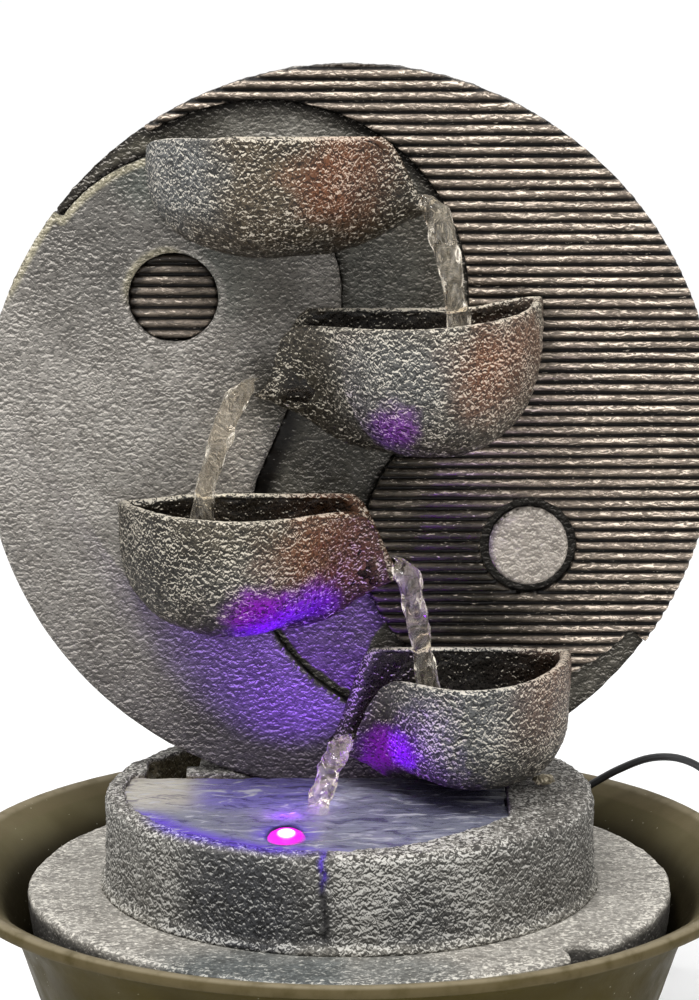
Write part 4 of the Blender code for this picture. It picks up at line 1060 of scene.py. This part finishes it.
def make_pebbles():
    """Crumpled pale stones in the hollow beside the backdrop, and the chip on the drum's ledge."""
    for name in ("pebble_first", "pebble_second", "pebble_third", "pebble_chip"):
        piece = add_object(name + "_stone", nodes[name].data.copy())
        shape = bmesh.new()
        shape.from_mesh(piece.data)
        bmesh.ops.remove_doubles(shape, verts=shape.verts, dist=0.00001)
        bmesh.ops.subdivide_edges(shape, edges=shape.edges, cuts=3, use_grid_fill=True, smooth=0.6)
        shape.to_mesh(piece.data)
        shape.free()
        points = corners_of(piece)
        relief = 0.0011 * (ridged(points, 0.0052) - 0.75) + 0.0004 * rough_noise(points, 0.002)
        tone = base_tone(push_out(piece, relief), srgb(176, 166, 142), 0.25, 0.006)
        tone = tint(tone, srgb(96, 84, 62), smoothstep(0.3 - relief * 600, 0, 0.6) * 0.6)
        paint(piece, looks["pebble"], tone, 0.5, 0.2)
        settle(piece, "pale_stone", name)


# ---------------------------------------------------------------- tub

def bend(start, first, second, end, steps=12):
    """Points of a cubic curve, its start left out."""
    t = np.linspace(0, 1, steps + 1)[1:, None]
    start, first, second, end = (np.array(p) for p in (start, first, second, end))
    curve = (1 - t) ** 3 * start + 3 * (1 - t) ** 2 * t * first + 3 * (1 - t) * t * t * second + t ** 3 * end
    return [tuple(p) for p in curve]


TUB_FOOT_R = 0.137
TUB_TAPER = 0.334
TUB_WALL = 0.0035
TUB_FLOOR = 0.006
TUB_FLARE = 0.090                  # height where the flared mouth begins


def tub_r(height):
    """Outside radius of the tapered part."""
    return TUB_FOOT_R + TUB_TAPER * height


def tub_profile():
    """Radii and heights up the outside, over the rim and down the inside, and how many are outside."""
    foot, rim, top, neck = TUB_FOOT_R, TUB_RIM_R, TUB_TOP, tub_r(TUB_FLARE)
    outside = [(0.07, 0.0), (foot - 0.002, 0.0), (foot - 0.0006, 0.0006), (foot + 0.0002, 0.0022)]
    outside += [(tub_r(h), h) for h in np.linspace(0.006, TUB_FLARE, 18)]
    outside += bend((neck, TUB_FLARE), (0.1745, 0.1120), (0.1845, 0.1212), (rim - 0.0050, top - 0.0058))
    outside += [(rim - 0.0040, top - 0.0062), (rim - 0.0018, top - 0.0060)]
    outside += bend(outside[-1], (rim, top - 0.0058), (rim, top - 0.0010), (rim - 0.0024, top), 8)
    inner_neck = (neck - TUB_WALL, TUB_FLARE)
    inside = bend(outside[-1], (rim - 0.0125, top - 0.0006), (0.1765, 0.1180), inner_neck, 18)
    inside += [(tub_r(h) - TUB_WALL, h) for h in np.linspace(TUB_FLARE - 0.005, 0.012, 14)]
    inside += [(foot - TUB_WALL - 0.001, 0.0078), (foot - TUB_WALL - 0.006, TUB_FLOOR)]
    return outside + inside + [(0.08, TUB_FLOOR), (0.03, TUB_FLOOR)], len(outside)


def make_tub():
    """Tapered plastic tub with a flared mouth."""
    profile, inner_row = tub_profile()
    around = 252
    turn = np.linspace(0, 2 * math.pi, around, endpoint=False)
    piece = add_piece("tub_plastic", *skin([level_loop(turn, r, h) for r, h in profile]))
    points = corners_of(piece)
    sag = 0.0006 * rough_noise(points, 0.09, 2) * smoothstep(points[:, 2], 0.03, 0.12)
    away = points * (1, 1, 0)
    away /= np.maximum(np.linalg.norm(away, axis=1), 1e-6)[:, None]
    grain = 0.00008 * rough_noise(points, 0.004, 2)
    move_corners(piece, points + away * (sag - 0.0005 * (points[:, 2] > 0.11))[:, None]
                 + normals_of(piece) * grain[:, None])
    row = np.minimum(np.arange(len(points)) // around, len(profile) - 1)
    store(piece, "inner", smoothstep(row, inner_row - 1, inner_row + 4))
    piece.data.materials.append(looks["tub"])
    settle(piece, "tub", "tub", body="base")


def make_tub_ribs():
    """The six ribs inside the tub that carry the slab."""
    top = SLAB_LOW - 0.0003
    outer, low_outer = tub_r(top) - TUB_WALL + 0.0006, tub_r(TUB_FLOOR) - TUB_WALL + 0.0006
    outline = [(outer - 0.017, top), (outer, top), (low_outer, TUB_FLOOR), (low_outer - 0.012, TUB_FLOOR)]
    for k in range(6):
        shape = bmesh.new()
        near, far = ([shape.verts.new((r, across, h)) for r, h in outline] for across in (-0.002, 0.002))
        for j in range(4):
            shape.faces.new((near[j], near[(j + 1) % 4], far[(j + 1) % 4], far[j]))
        shape.faces.new(near[::-1])
        shape.faces.new(far)
        bmesh.ops.bevel(shape, geom=shape.edges, offset=0.0006, segments=2, profile=0.7, affect="EDGES")
        bmesh.ops.recalc_face_normals(shape, faces=shape.faces)
        shape.transform(Matrix.Rotation(math.radians(30 + 60 * k), 4, "Z"))
        name = f"tub_rib_{k + 1}"
        mesh = bpy.data.meshes.new(name)
        shape.to_mesh(mesh)
        shape.free()
        mesh.materials.append(looks["tub"])
        rib = add_object(name, mesh)
        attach(rib, "base")


def tub_look():
    """Olive plastic, paler inside, with a worn rim whose top line is also a painted highlight, and pale
    specks.
    By and below the slab's top the inside is painted dark as shade.
    """
    look = Look("tub_plastic", rough=0.55, spec=0.03)
    cloud = look.span(look.noise(0.07, detail=3), 0.3, 0.7)
    streak = look.noise(0.02, detail=4, at=look.stretch((1.0, 1.0, 0.15)))
    height = look.node("ShaderNodeSeparateXYZ", {"Vector": look.place}).outputs["Z"]
    outside = look.blend(cloud, srgb(46, 39, 12), srgb(60, 52, 20))
    inside = look.blend(cloud, srgb(80, 73, 50), srgb(102, 95, 70))
    # Painted shade on the inside by and below the slab's top, in the gap by the wall
    inside = look.blend(look.span(height, SLAB_TOP - 0.012, SLAB_TOP + 0.006), srgb(20, 16, 8), inside)
    base = look.blend(look.field("inner"), outside, inside)
    wear = look.span(look.noise(0.010, detail=4), 0.20, 0.60, 0.35, 1.0)
    band = look.math("MULTIPLY", look.span(height, TUB_TOP - 0.0064, TUB_TOP - 0.0050), wear)
    # Pale line along the rim's top: painted highlight, broken up by wear
    rim_highlight = look.math("MULTIPLY", look.span(height, TUB_TOP - 0.0018, TUB_TOP - 0.0004), wear)
    specks = look.math("LESS_THAN", look.cells(0.0042), 0.075)
    specks = look.math("MULTIPLY", specks, look.math("GREATER_THAN", look.noise(0.012, detail=1), 0.53))
    for where, strength, colour in ((streak, 0.30, srgb(78, 71, 50)), (band, 0.60, srgb(96, 86, 64)),
                                    (rim_highlight, 0.60, srgb(140, 130, 108)), (specks, 0.75, srgb(186, 182, 164))):
        base = look.blend(look.math("MULTIPLY", where, strength), base, colour)
    look.colour(base)
    look.rough(look.span(look.noise(0.025, detail=4), 0.3, 0.7, 0.36, 0.56))
    look.bump(look.math("ADD", look.noise(0.0016, detail=3), look.math("MULTIPLY", streak, 0.5)), 0.00008)
    return look.material


# ---------------------------------------------------------------- water

def wet_look(name, rough):
    look = Look(name, rough=rough)
    look.shader.inputs["IOR"].default_value = 1.33
    return look


def ripples(look, swirl, fine, depth):
    look.bump(look.math("ADD", swirl, look.math("MULTIPLY", look.noise(fine, detail=2), 0.3)), depth)


def bowl_water_look():
    """Still water that lets most of what lies under it through."""
    look = wet_look("bowl_water", 0.04)
    look.shader.inputs["Alpha"].default_value = 0.35
    swirl = look.noise(0.009, detail=3, rough=0.55, distort=1.2)
    colour = srgb(60, 52, 44)
    look.colour(look.blend(look.span(swirl, 0.35, 0.75), colour, tuple(c * 1.5 for c in colour)))
    ripples(look, swirl, 0.0027, 0.0008)
    return look.material


def pool_look():
    """Pool surface: its painted colours, reflections and lamp light, under pale and dark streaks
    that are painted reflections of the ripples.
    """
    look = wet_look("pool_water", 0.05)
    look.put(look.shader.inputs["Alpha"], look.field("veil"))
    swirl = look.noise(0.011, detail=4, rough=0.6, distort=1.6, at=look.stretch((0.45, 1.3, 1.0)))
    # Pale and dark streaks: painted reflections of the ripples
    pale = look.blend(look.span(swirl, 0.54, 0.68), look.field("tone", colour=True), srgb(190, 190, 198))
    look.colour(look.blend(look.span(swirl, 0.46, 0.34), pale, look.dim(pale, (0.46, 0.44, 0.56))))
    ripples(look, swirl, 0.004, 0.0008)
    return look.material


def stream_look():
    """Clear running water with twisted strands, froth where it breaks up, and a painted pale sheen at its
    edges.
    """
    look = wet_look("running_water", 0.03)
    strands = look.noise(0.0055, detail=2, distort=0.8, at=look.stretch((1.0, 1.0, 0.22)))
    ridge = look.math("ABSOLUTE", look.math("MULTIPLY_ADD", strands, 4.0, -2.0))
    strand_froth = look.math("SUBTRACT", 1.0, look.span(ridge, 0.04, 0.30))
    # Whiter where the surface turns to the edges: a painted sheen, over a slight even haze
    edge = look.node("ShaderNodeLayerWeight", {"Blend": 0.4}).outputs["Facing"]
    haze = look.math("MULTIPLY_ADD", look.span(edge, 0.62, 0.98), 0.50, 0.02)
    froth = look.math("ADD", look.math("MULTIPLY", strand_froth, look.field("froth")), haze, clamp=True)
    look.colour(look.blend(froth, (0.93, 0.85, 0.72), (1.0, 0.96, 0.86)))
    look.put(look.shader.inputs["Transmission Weight"], look.math("MULTIPLY_ADD", froth, -0.72, 1.0))
    look.rough(look.span(froth, 0, 1, 0.015, 0.22))
    look.bump(strands, 0.0008)
    return look.material


def inner_level(name, level):
    """Where the water meets a bowl's inner wall; over the mouth it runs onto the lip."""
    depths = np.linspace(0.0, 0.95, 60)
    rows = np.stack([bowl_loop(name, depth, BOWL_WALL * 0.9, INNER_BACK, RIM_LOWER) for depth in depths])
    edge = rows[0] + (0, 0, 0.0011)
    for k in np.flatnonzero(rows[0, :, 2] > level):
        edge[k] = [np.interp(level, rows[::-1, k, 2], rows[::-1, k, axis]) for axis in range(3)]
    return edge


def make_bowl_water(name):
    """A bowl's water, in rings from its middle to its edge."""
    level = LEVELS[name]
    edge = inner_level(name, level)
    centre = edge.mean(axis=0)
    centre[2] = level
    parts = np.linspace(0, 1, 15)[1:]
    loops = [centre[None, :]]
    for part in parts:
        loop = centre + (edge - centre) * part
        loop[:, 2] = level + (edge[:, 2] - level) * part ** 3
        loops.append(loop)
    corners = np.concatenate(loops)
    corners[:, 2] += 0.00035 * rough_noise(corners, 0.008, 2)
    count = len(edge)
    faces = [(0, 1 + k, 1 + (k + 1) % count) for k in range(count)]
    piece = add_piece(name + "_water", corners, faces + loop_faces(len(parts), count, first=1))
    if normals_of(piece)[0][2] < 0:
        piece.data.flip_normals()
    piece.data.materials.append(looks["bowl_water"])
    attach(piece, "sculpture")


# Streams: start on the lip, end in the water below, half width and half depth at both, froth
STREAMS = {
    "first_stream": ((0.0362, 0.012, 0.4630), (0.0592, 0.008, 0.3670),
                     (0.0072, 0.0075), (0.0054, 0.0045), 0.22),
    "second_stream": ((-0.0465, 0.012, 0.3720), (-0.0800, 0.006, 0.2755),
                      (0.0072, 0.0075), (0.0052, 0.0045), 0.20),
    "third_stream": ((0.0240, 0.011, 0.2810), (0.0424, 0.004, 0.1920),
                     (0.0068, 0.0070), (0.0054, 0.0045), 0.26),
    "fourth_stream": ((0.0005, 0.000, 0.1925), (-0.0165, -0.038, 0.1615),
                      (0.0070, 0.0070), (0.0058, 0.0060), 0.50),
}


def make_stream(name, start, end, first, last, froth):
    """Falling water: a rope that bends over the lip, twists, and breaks up a little as it falls."""
    start, end, first, last = (np.array(v) for v in (start, end, first, last))
    turn = np.linspace(0, 2 * math.pi, 34, endpoint=False)
    loops = []
    for part in np.linspace(0, 1, 72):
        x, y = start[:2] + (end[:2] - start[:2]) * part ** 0.55
        wide, deep = first + (last - first) * smoothstep(part, 0.0, 0.5)
        pinch = 0.30 + 0.70 * smoothstep(part, 0.0, 0.08)
        twist = 0.30 * np.cos(2 * (turn - 9 * part)) + 0.10 * np.cos(3 * (turn + 14 * part))
        loop = level_loop(turn, (1 + 0.35 * twist) * pinch, start[2] + (end[2] - start[2]) * part)
        loops.append(loop * (wide, deep, 1) + (x, y, 0))
    piece = add_piece(name, *skin(loops))
    points = corners_of(piece)
    ropes = 0.0010 * rough_noise(points * (1, 1, 0.30), 0.0050, 2) + 0.0008 * rough_noise(points, 0.010)
    push_out(piece, ropes)
    fall = np.clip((start[2] - points[:, 2]) / (start[2] - end[2]), 0, 1)
    froth = froth * (0.55 + 0.45 * rough_noise(points, 0.02, 2))
    store(piece, "froth", froth * (1 - 0.4 * smoothstep(fall, 0.3, 0.9)))
    piece.data.materials.append(looks["stream"])
    piece.visible_shadow = False
    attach(piece, "sculpture")


def make_pool_water():
    """Water in the drum: rings of ripples about the falling stream."""
    step = 0.0016
    wall_r = 0.1145
    foot_x, foot_y, _ = STREAMS["fourth_stream"][1]
    turn = np.arange(180, 349, 2.0)
    wall = wall_r - 0.018 * smoothstep((turn - 255) / 60) - 0.017 * smoothstep((turn - 322) / 25)
    outline = np.concatenate([on_circle(wall, turn), [(0.081, 0.0225), (-0.114, 0.0225)]])
    xs, ys = np.meshgrid(np.arange(-0.118, 0.092, step), np.arange(-0.120, 0.026, step))
    corners = np.stack([xs.ravel(), ys.ravel(), np.zeros(xs.size)], axis=1)
    held = quads((edge_distance(corners[:, :2], outline) > -step * 0.7).reshape(xs.shape)).all(axis=1)
    off = np.hypot(corners[:, 0] - foot_x, corners[:, 1] - foot_y)
    rings = 0.0006 * np.sin(off / 0.0013) * np.exp(-off / 0.018)
    corners[:, 2] = POOL_LEVEL + 0.00045 * rough_noise(corners, 0.012, 3) + rings
    used, faces = drop_unused(quads(np.arange(len(corners)).reshape(xs.shape))[held].tolist(), len(corners))
    piece = add_piece("pool_water", corners[used], faces, turn_out=False)
    points = corners_of(piece)
    x, y = points[:, 0], points[:, 1]
    sky = smoothstep(-x, 0.066, 0.090) * smoothstep(y, -0.050, -0.015)
    shade = smoothstep(x, 0.0, 0.05) * smoothstep(y, -0.065, -0.030)
    rim_away = wall_r - np.hypot(x, y)
    by_rim = smoothstep(0.020 - rim_away, 0.0, 0.014)
    by_rim *= smoothstep(-x, -0.01, 0.03) * smoothstep(-y, 0.03, 0.05)
    by_lamp = 1 - smoothstep(np.hypot(x - LAMP.x, y - LAMP.y + 0.031) / 0.022, 0.35, 1.0)
    by_disc = smoothstep(y, -0.045, -0.020) * smoothstep(-x, 0.0, 0.02) * smoothstep(x, -0.085, -0.07)
    violet = np.max([by_rim, 0.8 * by_lamp, 0.40 * by_disc], axis=0)
    glint = 1 - smoothstep(np.hypot(x + 0.0325, y + 0.1045) / 0.0035, 0.4, 1.0)
    # Painted light on the water: the sky's reflection at the left, shade at the back right, the lamp's violet
    # light and its glint
    tone = base_tone(points, srgb(132, 134, 150), 0.12)
    for colour, weight in ((srgb(192, 186, 172), 0.95 * sky), (srgb(64, 60, 92), 0.7 * shade),
                           (srgb(104, 66, 214), 0.85 * violet), (srgb(230, 30, 200), glint)):
        tone = tint(tone, colour, weight)
    store(piece, "tone", tone)
    across_lens = np.hypot(x - LAMP.x, (y - LAMP.y + 0.033) / 1.9)
    store(piece, "veil", 0.82 - 0.74 * (1 - smoothstep(across_lens, 0.0075, 0.0105)))
    piece.data.materials.append(looks["pool_water"])
    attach(piece, "sculpture")


# The lamp's lights: kind, power, colour, size, height over the pool, aim, then a spot's cone and soft edge
GLOW = {
    "lamp_beam": ("SPOT", 1.3, (0.20, 0.0, 1.0), 0.004, 0.002, (0.02, 0.64, 0.77), 84, 0.8),
    "lamp_side": ("SPOT", 0.42, (0.25, 0.0, 1.0), 0.003, 0.003, (0.90, 0.05, 0.34), 46, 0.7),
    "lamp_halo": ("POINT", 0.018, (0.35, 0.0, 1.0), 0.003, 0.007, (0, 0, 1)),
}


def make_glow():
    """The lamp's violet light, which follows the sculpture with its lens."""
    for name, (kind, power, colour, size, height, aim, *cone) in GLOW.items():
        data = bpy.data.lights.new(name, kind)
        data.energy = power
        data.color = colour
        data.shadow_soft_size = size
        if cone:
            data.spot_size = math.radians(cone[0])
            data.spot_blend = cone[1]
        lamp = add_object(name, data)
        lamp.location = (LAMP.x, LAMP.y, POOL_LEVEL + height)
        lamp.rotation_euler = Vector(aim).to_track_quat("-Z", "Y").to_euler()
        lamp.visible_camera = False
        lamp.visible_glossy = False
        lamp.parent = nodes["lamp_lens"]


# ---------------------------------------------------------------- cord

def cord_route():
    """Pump, slab notch, over the tub's rim, down outside and along the floor to the coil."""
    return [
        (0.0080, 0.0980, 0.0440), (0.0200, 0.0985, 0.0420), (0.0400, 0.1000, 0.0300),
        (0.0600, 0.1010, 0.0170), (0.0800, 0.1015, 0.0200), (0.0960, 0.1040, 0.0400),
        (0.1030, 0.1100, 0.0660), (0.1070, 0.1150, 0.0900), (0.1100, 0.1180, 0.1090),
        (0.1180, 0.1210, 0.1230), (0.1320, 0.1195, 0.1325), (0.1470, 0.1180, 0.1415),
        (0.1640, 0.1175, 0.1480), (0.1810, 0.1190, 0.1470), (0.1960, 0.1260, 0.1365),
        (0.2050, 0.1390, 0.1140), (0.2055, 0.1560, 0.0840), (0.1985, 0.1740, 0.0520),
        (0.1870, 0.1910, 0.0240), (0.1735, 0.2060, 0.0075), (0.1620, 0.2180, 0.0028),
        (0.1552, 0.2262, 0.0025), (0.1502, 0.2345, 0.0029),
    ]


def smooth_route(route, spacing):
    """Catmull-Rom curve through given points, sampled at an even spacing."""
    knots = np.array(route)
    knots = np.concatenate([[2 * knots[0] - knots[1]], knots, [2 * knots[-1] - knots[-2]]])
    t = np.linspace(0, 1, 24, endpoint=False)[:, None]
    fine = [0.5 * (2 * b + (c - a) * t + (2 * a - 5 * b + 4 * c - d) * t ** 2
                   + (3 * b - a - 3 * c + d) * t ** 3)
            for a, b, c, d in zip(knots, knots[1:], knots[2:], knots[3:])]
    fine = np.concatenate(fine + [knots[-2:-1]])
    length = np.concatenate([[0], np.cumsum(np.linalg.norm(np.diff(fine, axis=0), axis=1))])
    wanted = np.linspace(0, length[-1], max(2, round(length[-1] / spacing)) + 1)
    return np.stack([np.interp(wanted, length, fine[:, axis]) for axis in range(3)], axis=1)


def coil_turns():
    """Two layers of turns: in along the bottom, up, and out along the top."""
    mean, pitch, low, high = 0.02445, 0.0041, 0.0035, 0.0076
    bottom = [mean + pitch * k for k in (1.5, 0.5, -0.5, -1.5)]
    laps = [(r, low) for r in bottom] + [(r, high) for r in bottom[::-1]]
    start, steps = math.radians(-2), 40
    points = []
    for number, (radius, level) in enumerate(laps):
        last = number == len(laps) - 1
        after = laps[-1] if last else laps[number + 1]
        for k in range(round(steps * 0.28) if last else steps):
            angle = start + 2 * math.pi * k / steps
            change = smoothstep(k / steps, 0.80, 1.0)
            r = radius + (after[0] - radius) * change
            z = level + (after[1] - level) * change
            points.append((COIL_MIDDLE.x + r * math.cos(angle), COIL_MIDDLE.y + r * math.sin(angle), z))
    return points


def cord_points():
    """The cord's centreline; the route runs straight into the coil past its first few points."""
    skipped = 3
    tail = [(0.1010, 0.2624, 0.0066), (0.0940, 0.2628, 0.0056), (0.0860, 0.2608, 0.0044),
            (0.0740, 0.2580, 0.0043), (0.0603, 0.2560, 0.0045)]
    return smooth_route([*cord_route(), *coil_turns()[skipped:], *tail], 0.0036)


def make_cord():
    points = cord_points()
    curve = bpy.data.curves.new("supply_cord", "CURVE")
    curve.dimensions = "3D"
    curve.bevel_depth = CORD_R
    curve.bevel_resolution = 3
    curve.use_fill_caps = True
    spline = curve.splines.new("POLY")
    spline.points.add(len(points) - 1)
    for knot, spot in zip(spline.points, points):
        knot.co = (*spot, 1)
    spline.use_smooth = True
    cord = add_object("supply_cord", curve)
    curve.materials.append(looks["cord"])
    settle(cord, "cord", "power_cord", "power_cord_coil", "power_cord_tail", body="base")


# ---------------------------------------------------------------- small parts

def hose_look():
    look = Look("clear_hose", rough=0.18)
    look.shader.inputs["Transmission Weight"].default_value = 0.75
    look.shader.inputs["IOR"].default_value = 1.45
    haze = look.noise(0.006, detail=3)
    look.colour(look.blend(haze, (0.72, 0.76, 0.74), (0.90, 0.93, 0.92)))
    look.bump(haze, 0.0001)
    return look.material


def lens_look():
    """Lit from behind, whitest near its middle."""
    look = Look("lit_lens", rough=0.12)
    away = look.node("ShaderNodeVectorMath", operation="DISTANCE")
    look.put(away.inputs[0], look.stretch((1.0, 1.0, 0.0)))
    away.inputs[1].default_value = (LAMP.x, LAMP.y - 0.0035, 0)
    power = look.span(away.outputs["Value"], 0.0020, 0.0060, 7.0, 1.5)
    look.put(look.shader.inputs["Emission Strength"], power)
    look.colour(look.blend(look.noise(0.004, detail=2), (0.10, 0.02, 0.16), (0.22, 0.06, 0.32)))
    hot = look.span(away.outputs["Value"], 0.0024, 0.0052)
    look.put(look.shader.inputs["Emission Color"], look.blend(hot, (1.0, 0.72, 0.95), (0.85, 0.01, 0.66)))
    return look.material


def chip_look():
    look = Look("lamp_chip_glow", rough=0.4)
    look.shader.inputs["Emission Strength"].default_value = 6.0
    look.colour(look.blend(look.noise(0.001), (0.9, 0.8, 0.4), (0.9, 0.9, 0.7)))
    glow = look.blend(look.noise(0.001), (0.6, 0.1, 1.0), (0.8, 0.3, 1.0))
    look.put(look.shader.inputs["Emission Color"], glow)
    return look.material


def numbered(name, count):
    return [f"{name}_{k + 1}" for k in range(count)]


def finish_small_parts():
    """Materials of the CAD pieces that keep their shape."""
    finishes = (
        (plastic_look("black_plastic", (0.018, 0.018, 0.019)),
         ["outlet_elbow", *numbered("hose_clip", 2), "lamp_housing", "lamp_plug", "rear_cover",
          "pump_housing", "pump_back_cap", "pump_volute", "intake_cover", "lamp_socket", "plug_body",
          "cord_tie"]),
        (plastic_look("black_rubber", (0.014, 0.014, 0.014), rough=0.7, relief=0.0001),
         ["lamp_seal", "lamp_lead", "lamp_feed", "cable_gland", *numbered("pump_foot", 4)]),
        (metal_look("steel", (0.62, 0.62, 0.63)), [*numbered("rear_cover_screw", 4), "plug_shell"]),
        (plastic_look("circuit_board", (0.62, 0.62, 0.58), rough=0.5), ["lamp_board", "plug_tongue"]),
        (plastic_look("ceramic", (0.78, 0.77, 0.72), rough=0.25), ["impeller_shaft"]),
        (plastic_look("magnet", (0.045, 0.045, 0.05)), ["pump_impeller", "flow_dial"]),
        (plastic_look("potting_resin", (0.10, 0.045, 0.02), rough=0.35), ["pump_stator"]),
        (hose_look(), ["water_hose"]),
        (lens_look(), ["lamp_lens"]),
        (chip_look(), ["lamp_chip"]),
    )
    for look, names in finishes:
        for name in names:
            nodes[name].data.materials.clear()
            nodes[name].data.materials.append(look)


# ---------------------------------------------------------------- the whole

make_camera()
looks = {
    "smooth": stone_look("hammered_stone", 0.0020, srgb(182, 176, 168), 0.0003, dark=0.40, stroke=0.72,
                         sharp=0.24, curl=0.4),
    "ribs": stone_look("slate_stone", 0.0020, srgb(232, 218, 200), 0.0003, dark=0.45, stroke=0.40,
                       sharp=0.28),
    "bowl": stone_look("bowl_stone", 0.0022, srgb(212, 204, 188), 0.0005, dark=0.18, sharp=0.08, curl=0.6),
    "drum": stone_look("drum_stone", 0.0024, srgb(192, 190, 184), 0.0005, dark=0.28, sharp=0.12, curl=0.6),
    "slab": stone_look("slab_stone", 0.0022, srgb(188, 184, 174), 0.0003, dark=0.60, stroke=0.8,
                       sharp=0.28, curl=0.4),
    "pebble": stone_look("pale_stone", 0.0040, srgb(206, 198, 178), 0.0008, dark=0.45),
    "tub": tub_look(),
    "cord": plastic_look("cord_jacket", (0.012, 0.012, 0.013), rough=0.38, grain=0.0006),
    "stream": stream_look(),
    "bowl_water": bowl_water_look(),
    "pool_water": pool_look(),
}
make_cord()
make_studio()
make_floor()
make_smooth_half()
make_ribbed_half()
make_channel()
make_dots()
make_shell()
for bowl in BOWLS:
    make_bowl(bowl)
    make_bowl_water(bowl)
make_slab()
make_drum()
make_pebbles()
make_tub()
make_tub_ribs()
for stream, shape in STREAMS.items():
    make_stream(stream, *shape)
make_pool_water()
make_glow()
finish_small_parts()
